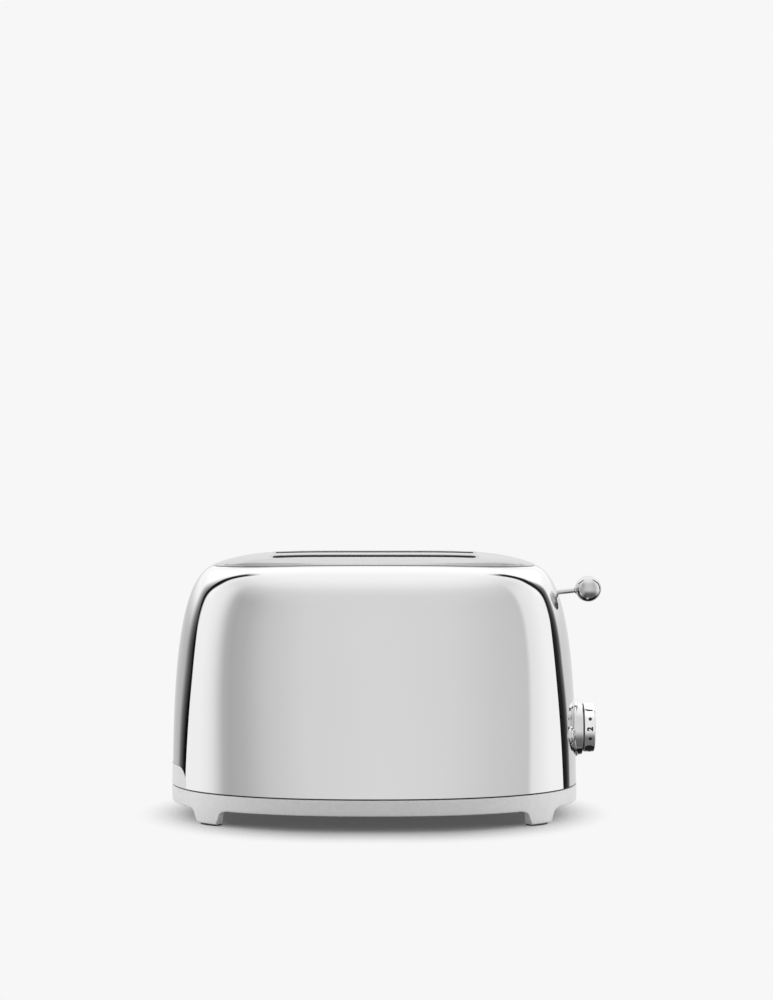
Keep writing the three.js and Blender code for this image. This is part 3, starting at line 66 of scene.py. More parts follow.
CROWN_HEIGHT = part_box("top_plate")[1].z

# Camera
CAMERA_DISTANCE = 2.0
CAMERA_HEIGHT = 0.299
CAMERA_PITCH = radians(2.06)
CAMERA_LENS = 99.5
BACKGROUND = 0.93

# Skin: half sizes at its foot and rim, and Bezier shares of its draw-in and height
SKIN_SEAM = 0.0010
SKIN_SET_BACK = 0.0003
SKIN_WALL = 0.001
SKIN_FOOT = BASE_TOP + SKIN_SEAM
SKIN_FOOT_LENGTH = BASE_HALF_LENGTH - SKIN_SET_BACK
SKIN_FOOT_DEPTH = BASE_HALF_DEPTH - SKIN_SET_BACK
RIM_HALF_LENGTH = 0.1166
RIM_HALF_DEPTH = 0.0606
RIM_END_HEIGHT = 0.180
RIM_SIDE_HEIGHT = 0.183
RIM_FLANGE_WIDTH = 0.006
RIM_TURN = ((0.0004, 0), (0.0010, -0.0002), (0.0012, -0.0006), (RIM_FLANGE_WIDTH, -0.0006),
            (RIM_FLANGE_WIDTH, -0.0006 - SKIN_WALL))
FOOT_EXPONENT = 2.25
RIM_EXPONENT = 2.5
END_PROFILE_SHARES = [[0, 0], [0.033, 0.445], [0.115, 0.942], [1, 1]]
SIDE_PROFILE_SHARES = [[0, 0], [0.02, 0.404], [0.13, 0.959], [1, 1]]

# Pressed panels at the front and back, which end in a crease
PANEL_RISE = 0.0003
SHOULDER_WIDTH = 0.007
CREASE_LOW_SHARES = [[0.918, 0], [0.903, 0.309], [0.879, 0.53], [0.852, 0.744]]
CREASE_HIGH_SHARES = [[0.852, 0.744], [0.838, 0.864], [0.828, 0.97], [0.417, 0.975]]
CREASE_FADE_SHARES = [0.42, 0.66]
PANEL_FADE_SHARES = [0.78, 0.975]
CREASE_FOLLOW_SHARE = 0.93

# Base and feet
BASE_BOTTOM = 0.0112
BASE_WALL = 0.003
BASE_EDGE_ROUND = 0.0009
BASE_TOP_ROUND = 0.0006
FLANGE_TOP = 0.015
FLANGE_WIDTH = 0.012
FLANGE_EDGE = 0.001
FLANGE_SLOPE = 0.0015
LEG_PLACE_SHARE = 0.812
LEG_HALF_WIDTH = 0.0094
LEG_HALF_DEPTH = 0.0056
LEG_SET_BACK = 0.0006
LEG_EDGE_ROUND = 0.0009
LEG_END_DEPTH = 0.0035
LEG_DRAFT = 0.0026
LEG_DRAFT_TOP = 0.0062
LEG_FILLET = 0.008
PAD_THICKNESS = 0.0012
PAD_INSET = 0.0006
PAD_EXPONENT = 2.5
PAD_SEAT_ROUND = 0.0005
PAD_PROFILE = ((0.0004, 0), (0.0001, 0.0001), (0, 0.0004), (0, PAD_THICKNESS - 0.0003),
               (0.0002, PAD_THICKNESS))
GLAND_HOLE = 0.0037
GLAND_HEIGHT = 0.0204
GLAND_CUT = (0.08, 0.11)
SCREW_ANGLES = (-1.2, 1.2, pi - 1.2, pi + 1.2)
SCREW_INSET = 0.008
SCREW_HOLE = 0.0018
SCREW_SEAT_RADIUS = 0.00365
SCREW_SEAT = 0.013
SCREW_CLEARANCE = 0.0003
SCREW_CUT = 0.006
OVERRUN = 0.001

# Top plate and slots
PLATE_INSET = 0.0006
PLATE_GAP = 0.0001
PLATE_THICKNESS = 0.0008
PLATE_EDGE_ROUND = 0.0006
PLATE_SHARES = (0.4, 0.97)
END_DOME_EXPONENT = 5
SIDE_DOME_EXPONENT = 8
PLATE_MIDDLE_EXPONENT = 6
PLATE_OUTLINE_EXPONENT = 3
SLOT_CENTRE = 0.027
SLOT_HALF_LENGTH = 0.0725
SLOT_HALF_WIDTH = 0.0155
SLOT_ROUND = 0.005
SLOT_CLEARANCE = 0.00015
SLOT_CUT = 0.01
COLLAR_WALL = 0.0014
COLLAR_BOTTOM = 0.171
LINER_TOP = -0.0006
LINER_WALL = 0.0005
LINER_CLEARANCE = 0.0001

# Openings in the skin
END_CUT = (0.12, 0.17)
DIAL_CUT = (0.12, 0.16)
LEVER_SLOT_HALF = 0.0032
LEVER_SLOT_TOP = 0.16495
LEVER_SLOT_BOTTOM = 0.09244
ARCH_HALF_WIDTH = 0.046
ARCH_TOP = 0.0383
ARCH_ROUND = 0.011
ARCH_GAP = 0.0003
TRAY_TAB_BACK = -0.1313
TAB_EDGE_ROUND = 0.0004
DIAL_HOLE = 0.0073

# Dial, buttons and lever
DIAL_HEIGHT = (DIAL_LOW.z + DIAL_HIGH.z) / 2
DIAL_RADIUS = (DIAL_HIGH.z - DIAL_LOW.z) / 2
DIAL_BACK = DIAL_LOW.x - CENTRE.x + 0.0004
DIAL_FRONT = DIAL_HIGH.x - CENTRE.x - 0.0011
SHAFT_BORE = 0.0033
DIAL_BORE_DEPTH = 0.0063
BEZEL_FRONT = BEZEL_HIGH.x - CENTRE.x
BEZEL_FLANGE_X = BEZEL_FRONT - 0.003
BEZEL_RADIUS = (BEZEL_HIGH.z - BEZEL_LOW.z) / 2
BEZEL_RING_RADIUS = BEZEL_RADIUS - 0.00105
BEZEL_BEND = 8
BEZEL_DEPTH = 0.0125
# Dark disc behind the dial: painted shade of the gap round it
GAP_SHADE_DEPTH = 0.001
GAP_SHADE_CLEARANCE = 0.0001
GAP_SHADE_INSET = 0.0005
SPIGOT_RADIUS = 0.007
SPIGOT_LENGTH = 0.008
BUTTON_Y = 0.0295
BUTTON_HEIGHT = DIAL_HEIGHT - 0.0025
BUTTON_RADIUS = 0.0048
BUTTON_PROUD = 0.0024
BUTTON_LENGTH = 0.009
SLEEVE_RADIUS = 0.0059
SLEEVE_LENGTH = 0.005
BUTTON_FLANGE_RADIUS = 0.0067
BUTTON_BEZEL_PROUD = 0.001
BUTTON_HOLE = 0.0062
BALL_CENTRE = (BALL_LOW + BALL_HIGH) / 2 - CENTRE
BALL_RADIUS = (BALL_HIGH.z - BALL_LOW.z) / 2 * 1.035
NECK_RADIUS = 0.0026
ARM_RADIUS = 0.0018
ARM_SLOPE = 0.1157
ARM_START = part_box("lever_arm")[0].x - CENTRE.x

# Numerals on the dial: the first one's angle above the level, and the step between marks
MARK_START = radians(49.5)
MARK_STEP = radians(23.6)
NUMERAL_SIZE = 0.0056
NUMERAL_THICKENING = 0.00035
NUMERAL_COUNT = 6
MARK_SHIFT = 0.0001
DOT_RADIUS = 0.00125
INK_THICKNESS = 0.00006

# Marks over the buttons and the dial
MARK_RISE = 0.0125
MARK_WIDTH = 0.0004
STAR_LENGTH = 0.0036
BAR_LENGTH = 0.0034
BAR_STEP = 0.0011
POINTER_LENGTH = 0.003
POINTER_WIDTH = 0.0007
POINTER_RISE = 0.0028

# Bread guides and spring
GUIDE_REACH = 0.0837
GUIDE_WIRE_RADIUS = 0.0008
GUIDE_BARS = 7
SPRING_RADIUS = 0.003
SPRING_WIRE_RADIUS = 0.00045
SPRING_TURNS = 14


def mix(a, b, share):
    return a + (b - a) * share


def full_turn(count):
    return np.linspace(0, 2 * pi, count, endpoint=False)


def xyz(x, y, z):
    """Points from their coordinates, of which some may be one number for all."""
    return np.stack(np.broadcast_arrays(x, y, z), axis=-1)


def smooth(low, high, value):
    share = np.clip((value - low) / (high - low), 0, 1)
    return share * share * (3 - 2 * share)


def cubic(shares, column, t):
    a, b, c, d = (pair[column] for pair in shares)
    s = 1 - t
    return a * s**3 + 3 * b * s * s * t + 3 * c * s * t * t + d * t**3


def superellipse(half_length, half_depth, exponent, angle):
    c, s = np.cos(angle), np.sin(angle)
    power = 2 / exponent
    return (
        half_length * np.sign(c) * np.abs(c) ** power,
        half_depth * np.sign(s) * np.abs(s) ** power,
    )


def base_outline(angle, inset=0):
    """Points of the base's outline, drawn in by an inset, and their outward directions."""
    half_length, half_depth = BASE_HALF_LENGTH - inset, BASE_HALF_DEPTH - inset
    x, y = superellipse(half_length, half_depth, FOOT_EXPONENT, angle)
    nx = np.sign(x) * np.abs(x / half_length) ** (FOOT_EXPONENT - 1) / half_length
    ny = np.sign(y) * np.abs(y / half_depth) ** (FOOT_EXPONENT - 1) / half_depth
    length = np.hypot(nx, ny)
    return x, y, nx / length, ny / length


# The skin's form


def skin_plain(t, angle):
    """Points of the skin without its pressing, for arrays of shares t and angles."""
    length = mix(SKIN_FOOT_LENGTH, RIM_HALF_LENGTH, cubic(END_PROFILE_SHARES, 0, t))
    depth = mix(SKIN_FOOT_DEPTH, RIM_HALF_DEPTH, cubic(SIDE_PROFILE_SHARES, 0, t))
    end_height = mix(SKIN_FOOT, RIM_END_HEIGHT, cubic(END_PROFILE_SHARES, 1, t))
    side_height = mix(SKIN_FOOT, RIM_SIDE_HEIGHT, cubic(SIDE_PROFILE_SHARES, 1, t))
    x, y = superellipse(length, depth, mix(FOOT_EXPONENT, RIM_EXPONENT, t), angle)
    return xyz(x, y, mix(end_height, side_height, np.sin(angle) ** 2))


def skin_normals(t, angle):
    step = 1e-4
    around = skin_plain(t, angle + step) - skin_plain(t, angle - step)
    up = skin_plain(np.minimum(t + step, 1), angle) - skin_plain(np.maximum(t - step, 0), angle)
    normal = np.cross(around, up)
    return normal / np.linalg.norm(normal, axis=-1, keepdims=True)


def crease_track():
    """The crease's arch on the +X side, as points of half width and height."""
    steps = np.linspace(0, 1, 80)
    halves, heights = [
        np.concatenate([
            cubic(CREASE_LOW_SHARES, i, steps),
            cubic(CREASE_HIGH_SHARES, i, steps)[1:],
        ])
        for i in (0, 1)
    ]
    halves = np.append(halves, 0) * SKIN_FOOT_LENGTH
    heights = mix(SKIN_FOOT, RIM_SIDE_HEIGHT, np.append(heights, heights[-1]))
    return halves, heights


CREASE_HALVES, CREASE_HEIGHTS = crease_track()


def crease_inside(x, z):
    """Signed distance to the crease's line in the front view, positive inside the panel."""
    x = np.abs(x)
    best = np.full(x.shape, np.inf)
    for i in range(len(CREASE_HALVES) - 1):
        ax, az = CREASE_HALVES[i], CREASE_HEIGHTS[i]
        dx, dz = CREASE_HALVES[i + 1] - ax, CREASE_HEIGHTS[i + 1] - az
        share = np.clip(((x - ax) * dx + (z - az) * dz) / (dx * dx + dz * dz), 0, 1)
        best = np.minimum(best, np.hypot(x - ax - share * dx, z - az - share * dz))
    half = np.interp(z, CREASE_HEIGHTS[:-1], CREASE_HALVES[:-1])
    within = (x < half) & (z < CREASE_HEIGHTS[-1])
    return np.where(within, best, -best)


def pressing(x, z):
    """How far the pressing lifts the skin off its plain form."""
    inside = crease_inside(x, z)
    soft, sharp = (share * SKIN_FOOT_LENGTH for share in CREASE_FADE_SHARES)
    low, high = (mix(SKIN_FOOT, RIM_SIDE_HEIGHT, share) for share in PANEL_FADE_SHARES)
    strength = mix(1 - smooth(low, high, z), 1, smooth(soft, sharp, np.abs(x)))
    return strength * PANEL_RISE * np.clip(1 + inside / SHOULDER_WIDTH, 0, 1) ** 2


def skin_points(t, angle, offset=0):
    """Points of the pressed skin, moved out along its normals."""
    plain = skin_plain(t, angle)
    lift = offset + pressing(plain[..., 0], plain[..., 2])
    return plain + skin_normals(t, angle) * lift[..., None]


def crease_angle(t, inside):
    """Angle at which the ring of t is a given distance inside the crease, in the first quarter."""
    low, high = np.zeros_like(t), np.full_like(t, pi / 2)
    follow = mix(SKIN_FOOT, RIM_SIDE_HEIGHT, CREASE_FOLLOW_SHARE)
    for _ in range(40):
        middle = (low + high) / 2
        point = skin_plain(t, middle)
        height = np.minimum(point[..., 2], follow)
        half = np.interp(height, CREASE_HEIGHTS[:-1], CREASE_HALVES[:-1])
        outside = point[..., 0] > half - inside
        low, high = np.where(outside, middle, low), np.where(outside, high, middle)
    return low


# Meshes and pieces


def linked(name, data):
    """New object in the scene."""
    item = bpy.data.objects.new(name, data)
    bpy.context.scene.collection.objects.link(item)
    return item


def grid_mesh(name, rings, closed_rings=True, looped=False, caps=False):
    """Mesh between rings of points, an array of shape (rings, points, 3)."""
    count, width = rings.shape[:2]
    faces = []
    for i in range(count if looped else count - 1):
        low, high = i * width, ((i + 1) % count) * width
        for j in range(width if closed_rings else width - 1):
            k = (j + 1) % width
            faces.append((low + j, low + k, high + k, high + j))
    if caps:
        faces.append(tuple(reversed(range(width))))
        faces.append(tuple(range((count - 1) * width, count * width)))
    mesh = bpy.data.meshes.new(name)
    mesh.from_pydata(np.reshape(rings, (-1, 3)).tolist(), [], faces)
    mesh.validate()
    return mesh


def cleaned(mesh):
    """Merges points that meet and turns all faces outwards."""
    shape = bmesh.new()
    shape.from_mesh(mesh)
    bmesh.ops.remove_doubles(shape, verts=shape.verts, dist=1e-7)
    bmesh.ops.dissolve_degenerate(shape, edges=shape.edges, dist=1e-8)
    bmesh.ops.recalc_face_normals(shape, faces=shape.faces)
    shape.to_mesh(mesh)
    shape.free()
    return mesh


def joined(name, *meshes):
    """One mesh of several."""
    shape = bmesh.new()
    for mesh in meshes:
        shape.from_mesh(mesh)
    made = bpy.data.meshes.new(name)
    shape.to_mesh(made)
    shape.free()
    return made


def turned(name, profile, looped=False, sides=96):
    """Solid of revolution about +X of a profile of [x, radius]; a looped one has a bore."""
    angle = full_turn(sides)
    rings = np.array([
        xyz(x, radius * np.cos(angle), radius * np.sin(angle)) for x, radius in profile
    ])
    return cleaned(grid_mesh(name, rings, looped=looped))


def drill(start, end, radius, sides=96):
    """Cylinder along +X, as a tool for carving."""
    profile = [(start, 0), (start, radius), (end, radius), (end, 0)]
    return turned("drill", profile, sides=sides)


def rounded(points, radius, steps=6):
    """A profile with each inner corner rounded off by a curve that starts radius away from it."""
    out = [points[0]]
    for before, corner, after in zip(points, points[1:], points[2:]):
        a, b, c = (np.array(p, float) for p in (before, corner, after))
        reach = min(radius, np.linalg.norm(a - b) / 2, np.linalg.norm(c - b) / 2)
        start = b + (a - b) / np.linalg.norm(a - b) * reach
        end = b + (c - b) / np.linalg.norm(c - b) * reach
        for i in range(steps + 1):
            s = i / steps
            out.append(tuple((1 - s) ** 2 * start + 2 * s * (1 - s) * b + s * s * end))
    out.append(points[-1])
    return out


def carved(mesh, *tools, operation="DIFFERENCE"):
    """The mesh with each tool's mesh taken away from it, or with only what they share."""
    for tool in tools:
        items = [linked("carving", data) for data in (mesh, tool)]
        modifier = items[0].modifiers.new("carve", "BOOLEAN")
        modifier.object = items[1]
        modifier.operation = operation
        modifier.solver = "EXACT"
        graph = bpy.context.evaluated_depsgraph_get()
        mesh = bpy.data.meshes.new_from_object(items[0].evaluated_get(graph))
        for item in items:
            bpy.data.objects.remove(item)
    return mesh


def prism(name, outline, axis, low, high):
    """Prism of a flat outline along one axis; its points hold the other two in their order."""
    others = [i for i in range(3) if i != axis]
    rings = np.zeros((2, len(outline), 3))
    rings[:, :, others] = outline
    rings[0, :, axis] = low
    rings[1, :, axis] = high
    return cleaned(grid_mesh(name, rings, caps=True))


def round_rectangle(half_a, half_b, radius, steps=10, straight=1):
    """Outline of a rectangle with round corners round zero, each side in equal parts."""
    points = []
    for quarter, (a, b) in enumerate([(1, 1), (-1, 1), (-1, -1), (1, -1)]):
        for i in range(steps + 1):
            angle = (quarter + i / steps) * pi / 2
            points.append(np.array([
                a * (half_a - radius) + radius * cos(angle),
                b * (half_b - radius) + radius * sin(angle),
            ]))
    out = []
    for i, point in enumerate(points):
        following = points[(i + 1) % len(points)]
        parts = straight if i % (steps + 1) == steps else 1
        out += [mix(point, following, k / parts) for k in range(parts)]
    return np.array(out)


def rod(name, start, end, radius, sides=16):
    """Round bar between two points, with rounded ends."""
    start, end = Vector(start), Vector(end)
    length = (end - start).length
    profile = rounded([(0, 0), (0, radius), (length, radius), (length, 0)], radius * 0.5, 2)
    mesh = turned(name, profile, sides=sides)
    turn = Vector((1, 0, 0)).rotation_difference(end - start).to_matrix().to_4x4()
    mesh.transform(Matrix.Translation(start) @ turn)
    return mesh


def dress(name, mesh, material, *stands_for, body="housing", smooth_angle=50):
    """Adds a piece that rides on a body and stands for the named CAD nodes."""
    mesh.materials.clear()
    mesh.materials.append(material)
    for polygon in mesh.polygons:
        polygon.use_smooth = True
        polygon.material_index = 0
    mesh.set_sharp_from_angle(angle=radians(smooth_angle))
    piece = linked(name, mesh)
    piece.location = CENTRE
    bpy.context.view_layer.update()
    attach(piece, body)
    if stands_for:
        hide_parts(*stands_for)
    return piece


# Materials

# The part of the noise's values that its colours and roughness are spread over
NOISE_RANGE = (0.3, 0.7)


class Kit:
    """Short calls for building a tree of nodes."""

    def __init__(self, tree):
        self.tree = tree

    def node(self, kind, **settings):
        """New node, with its properties, or else its inputs, set by name."""
        made = self.tree.nodes.new("ShaderNode" + kind)
        for key, value in settings.items():
            if hasattr(made, key):
                setattr(made, key, value)
            else:
                made.inputs[key.replace("_", " ")].default_value = value
        return made

    def fill(self, socket, source):
        """Gives a socket its number or its link."""
        if isinstance(source, (int, float)):
            socket.default_value = source
        else:
            self.tree.links.new(source, socket)

    def math(self, operation, *sources):
        made = self.node("Math", operation=operation)
        for i, source in enumerate(sources):
            self.fill(made.inputs[i], source)
        return made.outputs[0]

    def mixed(self, factor, a, b):
        made = self.node("Mix", data_type="FLOAT")
        for i, source in ((0, factor), (2, a), (3, b)):
            self.fill(made.inputs[i], source)
        return made.outputs[0]

    def ranged(self, source, start, end, low=0, high=1, interpolation="SMOOTHSTEP"):
        made = self.node("MapRange", interpolation_type=interpolation)
        for i, value in enumerate((source, start, end, low, high)):
            self.fill(made.inputs[i], value)
        return made.outputs[0]


class Shader(Kit):
    """Short calls for building one material."""

    def __init__(self, name, **values):
        self.material = bpy.data.materials.new(name)
        self.material.use_nodes = True
        super().__init__(self.material.node_tree)
        self.main = self.tree.nodes["Principled BSDF"]
        self.place = self.node("TexCoord").outputs["Object"]
        for key, value in values.items():
            socket = self.main.inputs[key.replace("_", " ")]
            socket.default_value = (*value, 1) if isinstance(value, tuple) else value

    def noise(self, scale, detail, stretch=(1, 1, 1)):
        mapping = self.node("Mapping", Scale=stretch)
        self.fill(mapping.inputs["Vector"], self.place)
        noise = self.node("TexNoise", Scale=scale, Detail=detail)
        self.fill(noise.inputs["Vector"], mapping.outputs["Vector"])
        return noise.outputs["Fac"]

    def blend(self, source, low, high):
        """Colour that goes from low to high with the source."""
        ramp = self.node("ValToRGB")
        for element, place, colour in zip(ramp.color_ramp.elements, NOISE_RANGE, (low, high)):
            element.position = place
            element.color = (*colour, 1)
        self.fill(ramp.inputs["Fac"], source)
        self.fill(self.main.inputs["Base Color"], ramp.outputs["Color"])

    def roughness(self, source, low, high):
        roughness = self.ranged(source, *NOISE_RANGE, low, high, "LINEAR")
        self.fill(self.main.inputs["Roughness"], roughness)

    def bump(self, source, distance):
        bump = self.node("Bump", Strength=1.0, Distance=distance)
        self.fill(bump.inputs["Height"], source)
        self.fill(self.main.inputs["Normal"], bump.outputs["Normal"])


def metal(name, low, high, roughness, grain=400, stretch=(1, 1, 1), bump=0.0, metallic=1.0,
          detail=4, patch=8):
    """Material with fine grain in its roughness and its colour in patches so many grains wide."""
    shader = Shader(name, Metallic=metallic)
    fine = shader.noise(grain, detail, stretch)
    shader.blend(shader.noise(grain / patch, 3, stretch), low, high)
    shader.roughness(fine, *roughness)
    if bump:
        shader.bump(fine, bump)
    return shader.material


def matt(name, low, high, roughness, grain=600, bump=2e-5):
    return metal(name, low, high, roughness, grain, (1, 1, 1), bump, 0.0, detail=5, patch=6)


def grey(value):
    return (value, value, value)


CHROME = metal("chrome", grey(0.70), grey(0.72), (0.02, 0.04), grain=60)
# Two more copies of the same chrome: the dial's lighter one is a painted highlight, the lever's
# darker one is painted shade
CHROME_PAINTED_LIGHTER = metal("chrome", grey(0.86), grey(0.88), (0.02, 0.04), grain=60)
CHROME_PAINTED_DARKER = metal("chrome", grey(0.58), grey(0.60), (0.02, 0.04), grain=60)
BRUSHED = metal("brushed_steel", grey(0.51), grey(0.57), (0.38, 0.46), 900, (0.02, 1, 1), 3e-6)
SATIN = metal("satin_silver", grey(0.60), grey(0.64), (0.44, 0.52), 2500, bump=3e-6, metallic=0.15)
# Near-black steel for the slots' insides: painted shade
SLOT_SHADE_STEEL = metal("sheet_steel", grey(0.06), grey(0.1), (0.4, 0.5), 300, (0.1, 1, 1), 1e-5)
SHEET_STEEL = metal("sheet_steel", grey(0.50), grey(0.58), (0.28, 0.4), 300, (0.1, 1, 1), 1e-5)
ALLOY = metal("resistance_alloy", (0.28, 0.26, 0.24), (0.40, 0.37, 0.34), (0.35, 0.5), 500)
COPPER = metal("copper_winding", (0.62, 0.27, 0.12), (0.75, 0.36, 0.18), (0.25, 0.4), 800,
               (1, 1, 6), 4e-5)
RUBBER = matt("foot_rubber", grey(0.018), grey(0.03), (0.6, 0.8))
DARK_PLASTIC = matt("dark_plastic", grey(0.03), grey(0.045), (0.4, 0.55))
PALE_PLASTIC = matt("pale_plastic", (0.62, 0.6, 0.55), (0.7, 0.68, 0.63), (0.4, 0.55))
MICA = matt("mica", (0.42, 0.31, 0.2), (0.6, 0.48, 0.33), (0.3, 0.5), 250, 4e-5)
BOARD = matt("circuit_board", (0.02, 0.13, 0.06), (0.04, 0.2, 0.09), (0.3, 0.45), 700)
INK = matt("dark_plastic", grey(0.006), grey(0.012), (0.4, 0.5))

# Finishes of the CAD nodes that are shown as they are, by the start of their names
FINISHES = (
    (SHEET_STEEL, ("underside_cover", "cover_screw", "chassis_plate", "reflector", "tray_rail",
                   "guide_rod", "magnet_core", "carriage_bracket", "bread_rack", "latch_plate",
                   "dial_shaft", "crumb_tray")),
    (DARK_PLASTIC, ("lever_slot_guide", "cord_gland", "potentiometer", "button_switch")),
    (PALE_PLASTIC, ("terminal_block",)),
    (MICA, ("heater_board",)),
    (ALLOY, ("heater_ribbon",)),
    (COPPER, ("magnet_coil",)),
    (BOARD, ("control_board",)),
)


def finish_nodes():
    for finish, starts in FINISHES:
        for name, piece in nodes.items():
            if name.startswith(starts):
                piece.data.materials.clear()
                piece.data.materials.append(finish)


# Skin with its rim and its openings


def skin_angles(t):
    """Angles of each ring: dense across the crease and over the arch's corner."""
    columns = [crease_angle(t, inside) for inside in np.linspace(-0.0012, 0.0012, 17)]
    band = [columns[0] * share for share in np.linspace(0, 1, 30, endpoint=False)]
    corner_end = crease_angle(t, 0.030)
    corner = [mix(columns[-1], corner_end, share) for share in np.linspace(0, 1, 52)[1:]]
    panel = [mix(corner_end, pi / 2, share) for share in np.linspace(0, 1, 34)[1:]]
    quarter = np.stack([*band, *columns, *corner, *panel], axis=-1)
    half = np.concatenate([quarter, pi - quarter[:, 1:-1][:, ::-1]], axis=1)
    return np.concatenate([half, half + pi], axis=1)


def skin_rows():
    return np.concatenate([
        np.linspace(0, 0.78, 60, endpoint=False),
        np.linspace(0.78, 0.96, 90, endpoint=False),
        np.linspace(0.96, 1, 10),
    ])


def flange_ring(angle, inset, height):
    """Ring drawn in from the rim, at a height over it."""
    x, y = superellipse(RIM_HALF_LENGTH - inset, RIM_HALF_DEPTH - inset, RIM_EXPONENT, angle)
    return xyz(x, y, mix(RIM_END_HEIGHT, RIM_SIDE_HEIGHT, np.sin(angle) ** 2) + height)


def skin_tree():
    """The plain skin as a tree for finding places on it."""
    around = np.linspace(0, 2 * pi, 240)
    t, angle = np.meshgrid(np.linspace(0, 1, 90), around, indexing="ij")
    points = skin_plain(t, angle)
    mesh = grid_mesh("skin_places", points, closed_rings=False)
    tree = BVHTree.FromPolygons([v.co for v in mesh.vertices], [p.vertices for p in mesh.polygons])
    bpy.data.meshes.remove(mesh)
    return tree


SKIN_TREE = skin_tree()


def end_place(y, z):
    """Point and outward direction of the skin at its +X end."""
    point, normal = SKIN_TREE.ray_cast(Vector((0.2, y, z)), Vector((-1, 0, 0)))[:2]
    return point, normal if normal.x > 0 else -normal


def button_seat(side):
    """Where a button meets the skin, with the turn that the skin has there."""
    point, normal = end_place(side * BUTTON_Y, BUTTON_HEIGHT)
    return Matrix.Translation(point) @ Matrix.Rotation(atan2(normal.y, normal.x), 4, "Z")


def placed(mesh, matrix):
    mesh.transform(matrix)
    return mesh


def at_dial(mesh):
    return placed(mesh, Matrix.Translation((0, 0, DIAL_HEIGHT)))


def arch(gap, low, high):
    """Prism of the crumb tray's opening, wider by a gap."""
    outline = round_rectangle(ARCH_HALF_WIDTH + gap, ARCH_TOP + gap, ARCH_ROUND + gap)
    return prism("arch", outline, 0, low, high)


def body_shell():
    t = skin_rows()
    angle = skin_angles(t)
    outer = skin_points(t[:, None], angle)
    rim = np.array([flange_ring(angle[-1], inset, height) for inset, height in RIM_TURN])
    picks = [len(t) - 1, 130, 110, 90, 70, 50, 30, 15, 0]
    inner = skin_points(t[picks][:, None], angle[picks], -SKIN_WALL)
    mesh = grid_mesh("shell_skin", np.concatenate([outer, rim, inner]), looped=True)
    slot_half = (LEVER_SLOT_TOP - LEVER_SLOT_BOTTOM) / 2
    slot = round_rectangle(LEVER_SLOT_HALF, slot_half, LEVER_SLOT_HALF * 0.999)
    slot[:, 1] += (LEVER_SLOT_TOP + LEVER_SLOT_BOTTOM) / 2
    near, far = END_CUT
    buttons = [
        placed(drill(-BUTTON_LENGTH, BUTTON_LENGTH, BUTTON_HOLE), button_seat(side))
        for side in (-1, 1)
    ]
    mesh = carved(
        mesh,
        prism("lever_slot", slot, 0, near, far),
        arch(ARCH_GAP, -far, -near),
        at_dial(drill(*DIAL_CUT, DIAL_HOLE)),
        *buttons,
    )
    dress("shell_skin", mesh, CHROME, "body_shell")


def skin_block(offset, rows=60, columns=240):
    """Everything inside the plain skin moved out by an offset, as a tool for carving."""
    t, angle = np.meshgrid(np.linspace(0, 1, rows), full_turn(columns), indexing="ij")
    points = skin_plain(t, angle) + skin_normals(t, angle) * offset
    return cleaned(grid_mesh("skin_block", points, caps=True))


def tray_tab():
    """Front of the crumb tray: an arch that lies a little proud of the skin."""
    mesh = carved(
        arch(0, -END_CUT[1], TRAY_TAB_BACK),
        skin_block(SKIN_SET_BACK, 160, 480),
        operation="INTERSECT",
    )
    piece = dress(
        "tray_tab", mesh, SATIN, "crumb_tray_front", body="crumb_drawer", smooth_angle=40)
    edge = piece.modifiers.new("edge", "BEVEL")
    edge.width = TAB_EDGE_ROUND
    edge.segments = 3
    edge.limit_method = "ANGLE"
    edge.angle_limit = radians(50)


# Base with its legs


def leg_contour():
    """Points from a leg's middle to where its fillet ends: distance along the edge, height."""
    flat = [(s, PAD_THICKNESS) for s in np.linspace(0, LEG_HALF_WIDTH, 9)]
    drafted = [
        (LEG_HALF_WIDTH + LEG_DRAFT * share, mix(PAD_THICKNESS, LEG_DRAFT_TOP, share))
        for share in np.linspace(0, 1, 5)[1:]
    ]
    fillet = [
        (LEG_HALF_WIDTH + LEG_DRAFT + LEG_FILLET * (1 - cos(turn)),
         mix(LEG_DRAFT_TOP, BASE_BOTTOM, sin(turn)))
        for turn in np.linspace(0, pi / 2, 12)[1:]
    ]
    return np.array(flat + drafted + fillet).T


def leg_angle():
    """Angle of the base's outline at the middle of a leg, and lengths along the outline."""
    angles = np.linspace(0, pi / 2, 6001)
    x, y = base_outline(angles)[:2]
    lengths = np.concatenate([[0], np.cumsum(np.hypot(np.diff(x), np.diff(y)))])
    middle = np.interp(-LEG_PLACE_SHARE * BASE_HALF_LENGTH, -x, angles)
    return angles, lengths, middle


def base_columns():
    """Angle, lower edge and inner reach of every column of the base's wall."""
    angles, lengths, middle_angle = leg_angle()
    middle = np.interp(middle_angle, angles, lengths)
    away, heights = leg_contour()
    end = away[-1]
    share = np.clip(away / (LEG_HALF_WIDTH + LEG_DRAFT), 0, 1)
    reach = mix(LEG_END_DEPTH, 2 * LEG_HALF_DEPTH, np.sqrt(1 - share**2))
    rest = FLANGE_WIDTH - FLANGE_EDGE
    reach = mix(reach, rest, smooth(end - 0.5 * LEG_FILLET, end, away))
    before = np.linspace(0, middle - end, 28, endpoint=False)
    after = np.linspace(middle + end, lengths[-1], 40)[1:]
    place = np.concatenate([before, middle - away[::-1], middle + away[1:], after])
    quarter = np.interp(place, lengths, angles)
    angle = np.concatenate([quarter, pi - quarter[1:-1][::-1]])

    def around(values, plain):
        """A leg's values with plain ones at both sides, mirrored to all four quarters."""
        quarter = np.concatenate([0 * before + plain, values[::-1], values[1:], 0 * after + plain])
        return np.tile(np.concatenate([quarter, quarter[1:-1][::-1]]), 2)

    angles = np.concatenate([angle, angle + pi])
    return angles, around(heights, BASE_BOTTOM), around(reach, rest)


